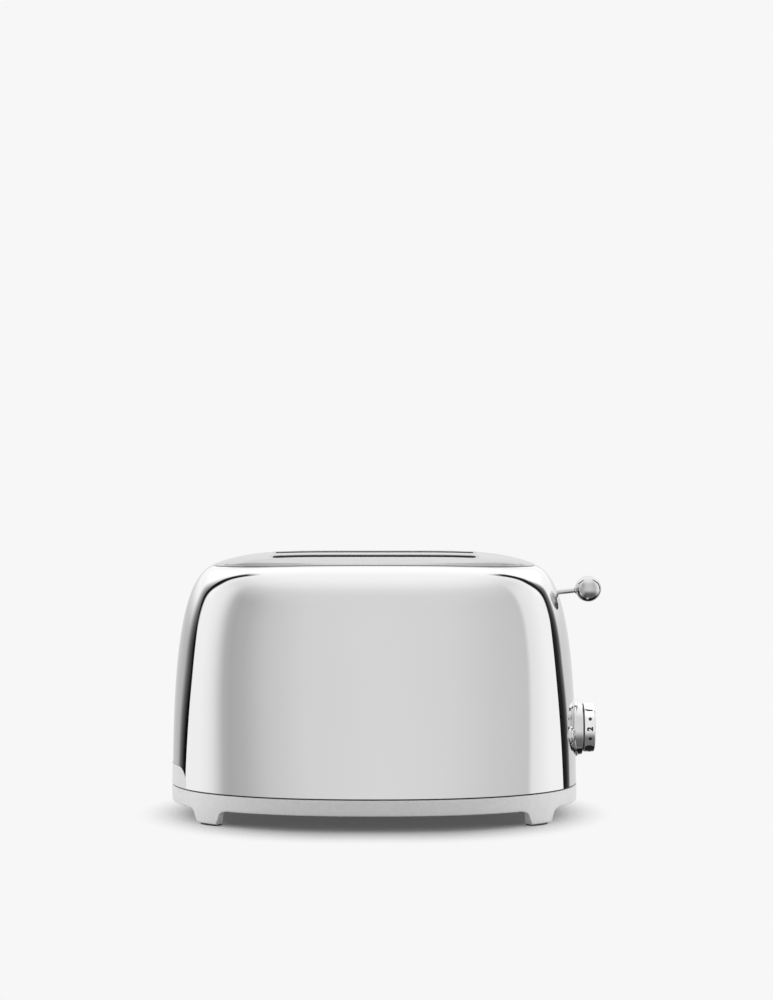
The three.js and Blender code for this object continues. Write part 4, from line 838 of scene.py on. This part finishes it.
def screw_hole(angle):
    """Tool for the seat and hole of one of the cover's screws."""
    hole = turned("screw_hole", [
        (BASE_BOTTOM - OVERRUN, 0),
        (BASE_BOTTOM - OVERRUN, SCREW_SEAT_RADIUS + SCREW_CLEARANCE),
        (SCREW_SEAT, SCREW_SEAT_RADIUS + SCREW_CLEARANCE),
        (SCREW_SEAT, SCREW_SEAT_RADIUS),
        (SCREW_SEAT + SCREW_SEAT_RADIUS - SCREW_HOLE, SCREW_HOLE),
        (SCREW_SEAT + SCREW_CUT, SCREW_HOLE),
        (SCREW_SEAT + SCREW_CUT, 0),
    ], sides=32)
    x, y = base_outline(angle, SCREW_INSET)[:2]
    return placed(hole, Matrix.Translation((x, y, 0)) @ Matrix.Rotation(-pi / 2, 4, "Y"))


def base_profile(low, inner):
    """Insets and heights of the band's rings, from the outer top edge down and round inside."""
    share = (BASE_BOTTOM - low) / (BASE_BOTTOM - PAD_THICKNESS)
    edge = mix(BASE_EDGE_ROUND, LEG_EDGE_ROUND, share)
    edge_top = low + edge

    def set_back(z):
        return LEG_SET_BACK * np.clip((FLANGE_TOP - z) / (FLANGE_TOP - PAD_THICKNESS), 0, 1)

    profile = [(BASE_WALL, BASE_TOP)]
    for turn in np.linspace(0, pi / 2, 5):
        profile.append((
            BASE_TOP_ROUND * (1 - sin(turn)),
            BASE_TOP - BASE_TOP_ROUND * (1 - cos(turn)),
        ))
    for step in np.linspace(0, 1, 12)[1:]:
        z = mix(BASE_TOP - BASE_TOP_ROUND, edge_top, step)
        profile.append((set_back(z), z))
    for turn in np.linspace(0, pi / 2, 7)[1:]:
        inset = set_back(edge_top) + edge * (1 - cos(turn))
        profile.append((inset, low + edge * (1 - sin(turn))))
    inside = set_back(low) + edge + PAD_SEAT_ROUND
    profile += [
        (np.maximum(inner - PAD_SEAT_ROUND, inside), low),
        (np.maximum(inner, inside + PAD_SEAT_ROUND), low + PAD_SEAT_ROUND * share),
        (np.minimum(inner + FLANGE_SLOPE, FLANGE_WIDTH), BASE_BOTTOM),
        (FLANGE_WIDTH, BASE_BOTTOM),
        (FLANGE_WIDTH, FLANGE_TOP),
        (BASE_WALL, FLANGE_TOP),
    ]
    return profile


def base_band():
    """The ring under the skin with its four legs, the gland's hole and the screws' seats."""
    angle, low, inner = base_columns()
    x, y, nx, ny = base_outline(angle)
    rings = [xyz(x - nx * inset, y - ny * inset, z) for inset, z in base_profile(low, inner)]
    mesh = cleaned(grid_mesh("base_band", np.array(rings), looped=True))
    gland = placed(
        drill(*GLAND_CUT, GLAND_HOLE, 48),
        Matrix.Translation((0, 0, GLAND_HEIGHT)) @ Matrix.Rotation(pi / 2, 4, "Z"),
    )
    mesh = carved(mesh, gland, *[screw_hole(angle) for angle in SCREW_ANGLES])
    dress("base_band", mesh, SATIN, "base_ring", smooth_angle=40)


def rubber_feet():
    """Oval pads with rounded edges under the four legs."""
    x, y, nx, ny = base_outline(leg_angle()[2])
    inset = LEG_SET_BACK + LEG_HALF_DEPTH
    depth = LEG_HALF_DEPTH - PAD_INSET
    width = LEG_HALF_WIDTH - PAD_INSET
    for name, x_side, y_side in [("front_left", -1, -1), ("front_right", 1, -1),
                                 ("rear_left", -1, 1), ("rear_right", 1, 1)]:
        turn = atan2(ny * y_side, nx * x_side)
        c, s = cos(turn), sin(turn)
        rings = []
        for draw_in, z in PAD_PROFILE:
            across, along = superellipse(
                depth - draw_in, width - draw_in, PAD_EXPONENT, full_turn(64))
            rings.append(xyz(
                (x - nx * inset) * x_side + across * c - along * s,
                (y - ny * inset) * y_side + across * s + along * c,
                z,
            ))
        mesh = cleaned(grid_mesh("rubber_foot", np.array(rings), caps=True))
        dress("rubber_foot_" + name, mesh, RUBBER, "foot_pad_" + name, smooth_angle=35)


# Top plate and the slots' lips


def plate_fall(share, side):
    """Height of the plate's underside at a share of its outline, from end (0) to side (1)."""
    rim = mix(RIM_END_HEIGHT, RIM_SIDE_HEIGHT, side) + PLATE_GAP
    fall = share ** mix(END_DOME_EXPONENT, SIDE_DOME_EXPONENT, side)
    return mix(CROWN_HEIGHT - PLATE_THICKNESS, rim, fall)


def plate_exponent(share):
    return mix(PLATE_MIDDLE_EXPONENT, RIM_EXPONENT, share**PLATE_OUTLINE_EXPONENT)


def plate_ring(share, angle, inset, height):
    x, y = superellipse(
        RIM_HALF_LENGTH - inset, RIM_HALF_DEPTH - inset, plate_exponent(share), angle)
    return xyz(x * share, y * share, plate_fall(share, np.sin(angle) ** 2) + height)


def plate_top(x, y):
    """Height of the plate's top face at a place."""
    across = np.abs(x) / (RIM_HALF_LENGTH - PLATE_INSET)
    along = np.abs(y) / (RIM_HALF_DEPTH - PLATE_INSET)
    share = np.full_like(across, 0.7)
    for _ in range(60):
        exponent = plate_exponent(share)
        share = mix(share, (across**exponent + along**exponent) ** (1 / exponent), 0.5)
    side = (along / share) ** plate_exponent(share)
    return plate_fall(share, np.clip(side, 0, 1)) + PLATE_THICKNESS


def slot_outline(grow, straight=1):
    return round_rectangle(
        SLOT_HALF_LENGTH + grow, SLOT_HALF_WIDTH + grow, SLOT_ROUND + grow, straight=straight)


def top_plate():
    angle = full_turn(240)
    shares = np.linspace(*PLATE_SHARES, 30)
    under = [plate_ring(share, angle, PLATE_INSET, 0) for share in shares]
    edge = [plate_ring(1, angle, PLATE_INSET + 0.0002, 0)]
    for turn in np.linspace(0, pi / 2, 8):
        inset = PLATE_INSET + PLATE_EDGE_ROUND * (1 - cos(turn))
        fall = PLATE_EDGE_ROUND * (1 - sin(turn))
        edge.append(plate_ring(1, angle, inset, PLATE_THICKNESS - fall))
    top = [plate_ring(share, angle, PLATE_INSET, PLATE_THICKNESS) for share in shares[::-1]]
    mesh = grid_mesh("plate_brushed", np.array(under + edge + top), caps=True)
    slots = []
    for side in (-1, 1):
        outline = slot_outline(COLLAR_WALL + SLOT_CLEARANCE)
        outline[:, 1] += side * SLOT_CENTRE
        slots.append(prism("slot", outline, 2, COLLAR_BOTTOM, CROWN_HEIGHT + SLOT_CUT))
    mesh = carved(cleaned(mesh), *slots)
    dress("plate_brushed", mesh, BRUSHED, "top_plate", smooth_angle=35)


def collar_rings(side, profile):
    """Rings round a slot from growths and heights over the plate, None at the collar's foot."""
    rings = []
    for grow, height in profile:
        x, y = slot_outline(grow, 12).T
        y = y + side * SLOT_CENTRE
        rings.append(xyz(x, y, COLLAR_BOTTOM if height is None else plate_top(x, y) + height))
    return np.array(rings)


def slot_lips():
    """Sheet collars of the two slots with rolled top edges, and dark liners inside them that paint
    the slots' shade.
    """
    edge = [(0, LINER_TOP), (0, -0.0003), (0.0001, -0.0001), (0.0003, 0), (0.0007, 0.0001),
            (0.0011, 0), (0.0013, -0.0001), (COLLAR_WALL, -0.0003), (COLLAR_WALL, None),
            (LINER_WALL, None), (LINER_WALL, LINER_TOP)]
    top = LINER_TOP - LINER_CLEARANCE
    wall = LINER_WALL - LINER_CLEARANCE
    inside = [(0, None), (0, top), (wall, top), (wall, None)]
    for name, side in (("front", -1), ("rear", 1)):
        mesh = cleaned(grid_mesh("slot_lip", collar_rings(side, edge), looped=True))
        dress("slot_lip_" + name, mesh, BRUSHED, "slot_collar_" + name)
        # Dark sheet just inside each slot: painted shade of the slot's depth
        mesh = cleaned(grid_mesh("slot_shade_liner", collar_rings(side, inside), looped=True))
        dress("slot_shade_liner_" + name, mesh, SLOT_SHADE_STEEL)


# Dial


def dial_knob():
    profile = rounded([
        (DIAL_BACK + DIAL_BORE_DEPTH, 0),
        (DIAL_BACK + DIAL_BORE_DEPTH, SHAFT_BORE),
        (DIAL_BACK, SHAFT_BORE),
        (DIAL_BACK, DIAL_RADIUS - 0.0004),
        (DIAL_BACK + 0.0006, DIAL_RADIUS),
        (DIAL_FRONT - 0.0006, DIAL_RADIUS - 0.0001),
        (DIAL_FRONT, DIAL_RADIUS - 0.0016),
        (DIAL_FRONT, DIAL_RADIUS - 0.0028),
        (DIAL_FRONT - 0.0007, DIAL_RADIUS - 0.0038),
        (DIAL_FRONT - 0.0012, 0),
    ], 0.0007)
    mesh = at_dial(turned("dial_knob", profile, sides=160))
    # The knob's chrome is painted lighter: a painted highlight
    dress("dial_knob", mesh, CHROME_PAINTED_LIGHTER, "browning_dial", body="dial")


def dial_washer():
    """Dark disc that paints the shade in the gap between the dial and its bezel."""
    back = BEZEL_FRONT - GAP_SHADE_DEPTH
    front = DIAL_BACK - GAP_SHADE_CLEARANCE
    radius = DIAL_RADIUS - GAP_SHADE_INSET
    profile = [(back, SHAFT_BORE), (back, radius), (front, radius), (front, SHAFT_BORE)]
    mesh = at_dial(turned("dial_washer", profile, looped=True, sides=160))
    dress("dial_washer", mesh, DARK_PLASTIC, body="dial")


def wrapped(mesh, turn):
    """A flat mark bent onto the dial's side: its top faces the toaster's body."""
    middle = (DIAL_BACK + DIAL_FRONT) / 2 + MARK_SHIFT
    for vertex in mesh.vertices:
        across, up, out = vertex.co
        radius = DIAL_RADIUS + out
        angle = turn + across / DIAL_RADIUS
        z = DIAL_HEIGHT + radius * sin(angle)
        vertex.co = (middle - up, -radius * cos(angle), z)
    return mesh


def numeral_mesh(text):
    curve = bpy.data.curves.new("numeral", "FONT")
    curve.body = text
    curve.size = NUMERAL_SIZE
    curve.align_x = "CENTER"
    curve.align_y = "CENTER"
    curve.extrude = INK_THICKNESS
    curve.offset = NUMERAL_THICKENING
    curve.resolution_u = 4
    item = linked("numeral", curve)
    graph = bpy.context.evaluated_depsgraph_get()
    mesh = bpy.data.meshes.new_from_object(item.evaluated_get(graph))
    bpy.data.objects.remove(item)
    return mesh


def dot_mesh():
    around = full_turn(24)
    rings = [
        xyz(DOT_RADIUS * np.cos(around), DOT_RADIUS * np.sin(around), out)
        for out in (-INK_THICKNESS, INK_THICKNESS)
    ]
    return grid_mesh("dot", np.array(rings), caps=True)


def dial_marks():
    """Numerals round the dial's side with a dot between each two."""
    for i in range(2 * NUMERAL_COUNT - 1):
        number = i // 2 + 1
        turn = MARK_START - i * MARK_STEP
        if i % 2:
            name, mesh = f"dial_dot_{number}", dot_mesh()
        else:
            name, mesh = f"dial_numeral_{number}", numeral_mesh(str(number))
        dress(name, wrapped(mesh, turn), INK, body="dial", smooth_angle=35)


def dial_bezel():
    back = BEZEL_FLANGE_X - BEZEL_DEPTH
    disc = turned("dial_bezel", rounded([
        (back, SHAFT_BORE),
        (back, BEZEL_RADIUS),
        (BEZEL_FLANGE_X, BEZEL_RADIUS),
        (BEZEL_FLANGE_X, BEZEL_RING_RADIUS + 0.0001),
        (BEZEL_FRONT, BEZEL_RING_RADIUS - 0.0003),
        (BEZEL_FRONT, DIAL_RADIUS + 0.0003),
        (BEZEL_FRONT - 0.0012, DIAL_RADIUS - 0.0004),
        (BEZEL_FRONT - 0.0012, SHAFT_BORE),
        (back, SHAFT_BORE),
    ], 0.0005)[:-1], looped=True, sides=160)
    for vertex in disc.vertices:
        if hypot(vertex.co.y, vertex.co.z) > BEZEL_RING_RADIUS - 0.0002:
            vertex.co.x -= BEZEL_BEND * vertex.co.y**2
    disc = carved(at_dial(disc), skin_block(0.0002))
    spigot_back = BEZEL_FLANGE_X - SPIGOT_LENGTH
    spigot_end = BEZEL_FLANGE_X - 0.001
    spigot = at_dial(turned("spigot", [
        (spigot_back, SHAFT_BORE),
        (spigot_back, SPIGOT_RADIUS),
        (spigot_end, SPIGOT_RADIUS),
        (spigot_end, SHAFT_BORE),
    ], looped=True))
    dress("dial_ring", joined("dial_ring", disc, spigot), CHROME, "dial_bezel")


# Push buttons and the marks above them


def button_pieces():
    for name, side in (("front", -1), ("rear", 1)):
        seat = button_seat(side)
        cap = turned("button_cap", rounded([
            (BUTTON_PROUD - BUTTON_LENGTH, 0),
            (BUTTON_PROUD - BUTTON_LENGTH, BUTTON_RADIUS),
            (BUTTON_PROUD - 0.0004, BUTTON_RADIUS),
            (BUTTON_PROUD, BUTTON_RADIUS - 0.0011),
            (BUTTON_PROUD - 0.0002, 0),
        ], 0.0005), sides=64)
        dress("button_cap_" + name, placed(cap, seat), CHROME, "button_" + name,
              body="button_" + name + "_body")
        ring = turned("button_ring", rounded([
            (-SLEEVE_LENGTH, BUTTON_RADIUS + 0.0003),
            (-SLEEVE_LENGTH, SLEEVE_RADIUS),
            (-0.0008, SLEEVE_RADIUS),
            (-0.0008, BUTTON_FLANGE_RADIUS),
            (0.0003, BUTTON_FLANGE_RADIUS),
            (BUTTON_BEZEL_PROUD, SLEEVE_RADIUS + 0.0001),
            (BUTTON_BEZEL_PROUD, BUTTON_RADIUS + 0.0006),
            (BUTTON_BEZEL_PROUD - 0.0005, BUTTON_RADIUS + 0.0003),
            (-SLEEVE_LENGTH, BUTTON_RADIUS + 0.0003),
        ], 0.0003, 4)[:-1], looped=True, sides=64)
        dress("button_ring_" + name, placed(ring, seat), CHROME, "button_bezel_" + name)


def bar_mark(length, width, turn, shift=(0, 0)):
    """Thin bar of ink in the plane of a mark."""
    outline = round_rectangle(length / 2, width / 2, width * 0.45, 3)
    mesh = prism("bar_mark", outline, 2, -INK_THICKNESS, INK_THICKNESS)
    return placed(mesh, Matrix.Translation((*shift, 0)) @ Matrix.Rotation(turn, 4, "Z"))


def skin_mark(name, y, z, *bars):
    """Ink bars laid on the skin's end round a place."""
    mesh = joined(name, *bars)
    for vertex in mesh.vertices:
        across, up, out = vertex.co
        point, normal = end_place(y + across, z + up)
        vertex.co = point + normal * out
    dress(name, mesh, INK, smooth_angle=35)


def skin_marks():
    """A star over the front button, three bars over the rear one and the dial's pointer."""
    upright = radians(90)
    mark_height = BUTTON_HEIGHT + MARK_RISE
    star = [bar_mark(STAR_LENGTH, MARK_WIDTH, radians(turn)) for turn in (0, 60, 120)]
    skin_mark("mark_star", -BUTTON_Y, mark_height, *star)
    shifts = (-BAR_STEP, 0, BAR_STEP)
    bars = [bar_mark(BAR_LENGTH, MARK_WIDTH, upright, (shift, 0)) for shift in shifts]
    skin_mark("mark_bars", BUTTON_Y, mark_height, *bars)
    pointer = bar_mark(POINTER_LENGTH, POINTER_WIDTH, upright)
    skin_mark("mark_pointer", 0, DIAL_HEIGHT + BEZEL_RADIUS + POINTER_RISE, pointer)


# Lever


def at_ball(mesh):
    turn = Matrix.Rotation(-atan(ARM_SLOPE), 4, "Y")
    return placed(mesh, Matrix.Translation(BALL_CENTRE) @ turn)


def lever_pieces():
    neck = -BALL_RADIUS + 0.0002
    ball = [(neck - 0.0008, 0), (neck - 0.0008, NECK_RADIUS - 0.0005),
            (neck - 0.0004, NECK_RADIUS - 0.0001), (neck, NECK_RADIUS)]
    start = asin(NECK_RADIUS / BALL_RADIUS)
    for turn in np.linspace(start, pi, 60):
        ball.append((-BALL_RADIUS * cos(turn), BALL_RADIUS * sin(turn)))
    ball[-1] = (BALL_RADIUS, 0)
    ball = at_ball(turned("lever_knob", ball))
    # The ball's and arm's chrome is painted darker: painted shade
    dress("lever_knob", ball, CHROME_PAINTED_DARKER, "lever_ball", body="carriage")
    stretch = hypot(1, ARM_SLOPE)
    start = (ARM_START - BALL_CENTRE.x) * stretch
    end = -BALL_RADIUS - 0.0006
    arm = turned("lever_rod", rounded([
        (start, 0), (start, ARM_RADIUS), (end, ARM_RADIUS), (end, 0),
    ], 0.0003, 3), sides=40)
    dress("lever_rod", at_ball(arm), CHROME_PAINTED_DARKER, "lever_arm", body="carriage")


# Inside


def guide_wires():
    """Round wire grilles that stand for the bread guides."""
    for name in ("front_outer", "front_inner", "rear_inner", "rear_outer"):
        low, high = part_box("bread_guide_" + name)
        y = (low.y + high.y) / 2
        bottom = low.z + GUIDE_WIRE_RADIUS
        top = high.z - GUIDE_WIRE_RADIUS
        ends = [((-GUIDE_REACH, y, z), (GUIDE_REACH, y, z)) for z in (bottom, top)]
        for i in range(GUIDE_BARS):
            x = mix(-SLOT_HALF_LENGTH, SLOT_HALF_LENGTH, (i + 0.5) / GUIDE_BARS)
            ends.append(((x, y, bottom), (x, y, top)))
        rods = [rod("bar", start, end, GUIDE_WIRE_RADIUS) for start, end in ends]
        mesh = joined("guide_wires", *rods)
        dress("guide_wires_" + name, mesh, SHEET_STEEL, "bread_guide_" + name,
              body="guide_" + name, smooth_angle=35)


def lift_coil():
    """The lift spring: a fixed coil of round wire between shelf and carriage."""
    x = (SPRING_LOW.x + SPRING_HIGH.x) / 2
    low = SPRING_LOW.z + SPRING_WIRE_RADIUS
    high = SPRING_HIGH.z - SPRING_WIRE_RADIUS
    steps = SPRING_TURNS * 24
    around = full_turn(10)
    radius = SPRING_RADIUS + SPRING_WIRE_RADIUS * np.cos(around)
    rings = []
    for i in range(steps + 1):
        turn = 2 * pi * i / 24
        z = mix(low, high, i / steps) + SPRING_WIRE_RADIUS * np.sin(around)
        rings.append(xyz(x + radius * cos(turn), radius * sin(turn), z))
    mesh = cleaned(grid_mesh("lift_coil", np.array(rings), caps=True))
    mesh.materials.append(SHEET_STEEL)
    for polygon in mesh.polygons:
        polygon.use_smooth = True
    piece = linked("lift_coil", mesh)
    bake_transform(piece)
    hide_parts("lift_spring")


# Camera, floor and light


def place_camera():
    camera = linked("camera", bpy.data.cameras.new("camera"))
    camera.location = (0, -CAMERA_DISTANCE, CAMERA_HEIGHT)
    camera.rotation_euler = (pi / 2 - CAMERA_PITCH, 0, 0)
    camera.data.lens = CAMERA_LENS
    camera.data.sensor_width = 36
    camera.data.clip_end = 20
    bpy.context.scene.camera = camera


# The studio's brightness round the toaster, by the angle from the camera's side in degrees
FRONT_LEFT = [(20, 0.89), (38, 0.76), (51, 0.60), (62, 0.54), (68, 0.60), (74, 0.85), (78, 1.0),
              (84, 1.12), (94, 1.2)]
FRONT_RIGHT = [(0, 0.93), (20, 0.9), (45, 0.8), (70, 0.75), (74.3, 1.03), (84, 1.12), (96, 1.22)]

# What the black flags at both sides and the darker room behind them leave of it
FLAG_LEFT = [(101.0, 1), (101.8, 0.005), (109, 0.01), (115, 0.25), (123, 1)]
FLAG_RIGHT = [(101.2, 1), (102.2, 0.005), (112, 0.03), (117, 0.2), (120, 1)]
ROOM_LEFT = [(102, 1), (104, 0.45), (124, 0.5), (150, 0.6), (180, 0.64)]
ROOM_RIGHT = [(102, 1), (104, 0.68), (150, 0.66), (180, 0.64)]
FLAG_LEAN_HIGH = 8.5
FLAG_LEAN_LOW = 11

TOP_BRIGHTNESS = 1.29
REAR_TOP_BRIGHTNESS = 1.4
FLOOR_BRIGHTNESS = 0.2

# Light on the matt faces
SIDE_LIGHT = 2.4
OVERHEAD_LIGHT = 0.7


def round_ramp(kit, angle, left, right):
    """Value by the direction's angle round the toaster, as a share of the whole turn."""
    ramp = kit.node("ValToRGB")
    kit.fill(ramp.inputs["Fac"], angle)
    stops = [(0.5 - d / 360, v) for d, v in left] + [(0.5 + d / 360, v) for d, v in right]
    elements = ramp.color_ramp.elements
    stops.sort()
    elements[0].position, elements[-1].position = stops[0][0], stops[-1][0]
    elements[0].color = (*grey(stops[0][1]), 1)
    elements[-1].color = (*grey(stops[-1][1]), 1)
    for place, value in stops[1:-1]:
        made = elements.new(place)
        made.color = (*grey(value), 1)
    return ramp.outputs["Color"]


def studio_light(kit, x, y, z):
    """What the polished faces see of the studio."""
    angle = kit.math("ARCTAN2", x, kit.math("MULTIPLY", y, -1))
    angle = kit.math("MULTIPLY_ADD", angle, 0.5 / pi, 0.5)
    high_lean = kit.ranged(z, 0.3, 0.65, FLAG_LEAN_HIGH, 0)
    lean = kit.math("ADD", high_lean, kit.ranged(z, -0.17, 0.0, FLAG_LEAN_LOW, 0))
    lean = kit.math("MULTIPLY", kit.math("SIGN", x), kit.math("DIVIDE", lean, 360))
    leaned = kit.math("SUBTRACT", angle, lean)
    behind = kit.ranged(y, -0.1, 0.3)
    top = kit.mixed(behind, kit.ranged(z, 0.68, 1.03, 0.93, TOP_BRIGHTNESS), REAR_TOP_BRIGHTNESS)
    aside = kit.ranged(kit.math("ABSOLUTE", x), 0.2, 0.45)
    rear_share = kit.mixed(aside, kit.ranged(z, 0.6, 0.8), kit.ranged(z, 0.3, 0.5))
    share = kit.mixed(behind, kit.ranged(z, 0.5, 0.85), rear_share)
    light = kit.mixed(share, round_ramp(kit, angle, FRONT_LEFT, FRONT_RIGHT), top)
    room = round_ramp(kit, leaned, ROOM_LEFT, ROOM_RIGHT)
    room = kit.mixed(kit.ranged(z, 0.0, 0.24), room, 1)
    flag = round_ramp(kit, leaned, FLAG_LEFT, FLAG_RIGHT)
    flag = kit.mixed(kit.ranged(z, 0.85, 0.93), flag, 1)
    below = kit.ranged(z, -0.75, -0.12, FLOOR_BRIGHTNESS, 1)
    below_behind = kit.mixed(kit.ranged(z, -0.8, -0.5, 1, 0), 1, kit.ranged(y, 0, 0.15, 1, 0.1))
    for factor in (room, flag, below, below_behind):
        light = kit.math("MULTIPLY", light, factor)
    return light


def light_world():
    world = bpy.data.worlds.new("studio")
    bpy.context.scene.world = world
    world.use_nodes = True
    world.node_tree.nodes.clear()
    kit = Kit(world.node_tree)
    parts = kit.node("SeparateXYZ")
    kit.fill(parts.inputs[0], kit.node("TexCoord").outputs["Generated"])
    x, y, z = parts.outputs
    sides = kit.math("MULTIPLY", kit.math("MULTIPLY", x, x), SIDE_LIGHT)
    diffuse = kit.math("MULTIPLY_ADD", kit.math("MAXIMUM", z, 0), OVERHEAD_LIGHT, sides)
    path = kit.node("LightPath")
    seen = kit.mixed(path.outputs["Is Glossy Ray"], diffuse, studio_light(kit, x, y, z))
    seen = kit.mixed(path.outputs["Is Camera Ray"], seen, BACKGROUND)
    background = kit.node("Background")
    kit.fill(background.inputs["Color"], seen)
    output = kit.node("OutputWorld")
    kit.fill(output.inputs["Surface"], background.outputs[0])


# Floor: a plain sheet that ends softly round the base, so that its shadow stays close to it; its
# grey, darker than the background and fading out there, is a painted shadow over the shadow it
# takes
FLOOR_STRAIGHT_HALF = 0.025
FLOOR_FULL_RADIUS = 0.09
FLOOR_RADIUS = 0.15
FLOOR_SHADOW_GREY = 0.45
FLOOR_STRENGTH = 0.95
FLOOR_HALF = 0.3


def lay_floor():
    shader = Shader("studio_floor", Base_Color=grey(FLOOR_SHADOW_GREY), Roughness=0.9,
                    Specular_IOR_Level=0)
    parts = shader.node("SeparateXYZ")
    shader.fill(parts.inputs[0], shader.place)
    x, y = parts.outputs[:2]
    beyond = shader.math("SUBTRACT", shader.math("ABSOLUTE", x), FLOOR_STRAIGHT_HALF)
    beyond = shader.math("MAXIMUM", beyond, 0)
    square = shader.math("MULTIPLY_ADD", beyond, beyond, shader.math("MULTIPLY", y, y))
    # The sheet's grey shows fully near the base and fades out beyond it: a painted shadow
    fade = shader.ranged(
        shader.math("SQRT", square), FLOOR_FULL_RADIUS, FLOOR_RADIUS, FLOOR_STRENGTH, 0)
    shader.fill(shader.main.inputs["Alpha"], fade)
    corners = [(-1, -1), (1, -1), (1, 1), (-1, 1)]
    mesh = bpy.data.meshes.new("floor")
    points = [(x * FLOOR_HALF, y * FLOOR_HALF, 0) for x, y in corners]
    mesh.from_pydata(points, [], [(0, 1, 2, 3)])
    floor = linked("floor", mesh)
    floor.location.x = CENTRE.x
    floor.data.materials.append(shader.material)
    floor.visible_glossy = False


finish_nodes()
body_shell()
tray_tab()
base_band()
rubber_feet()
top_plate()
slot_lips()
dial_knob()
dial_washer()
dial_marks()
dial_bezel()
button_pieces()
skin_marks()
lever_pieces()
guide_wires()
lift_coil()
place_camera()
light_world()
lay_floor()
bpy.context.scene.view_settings.view_transform = "Standard"
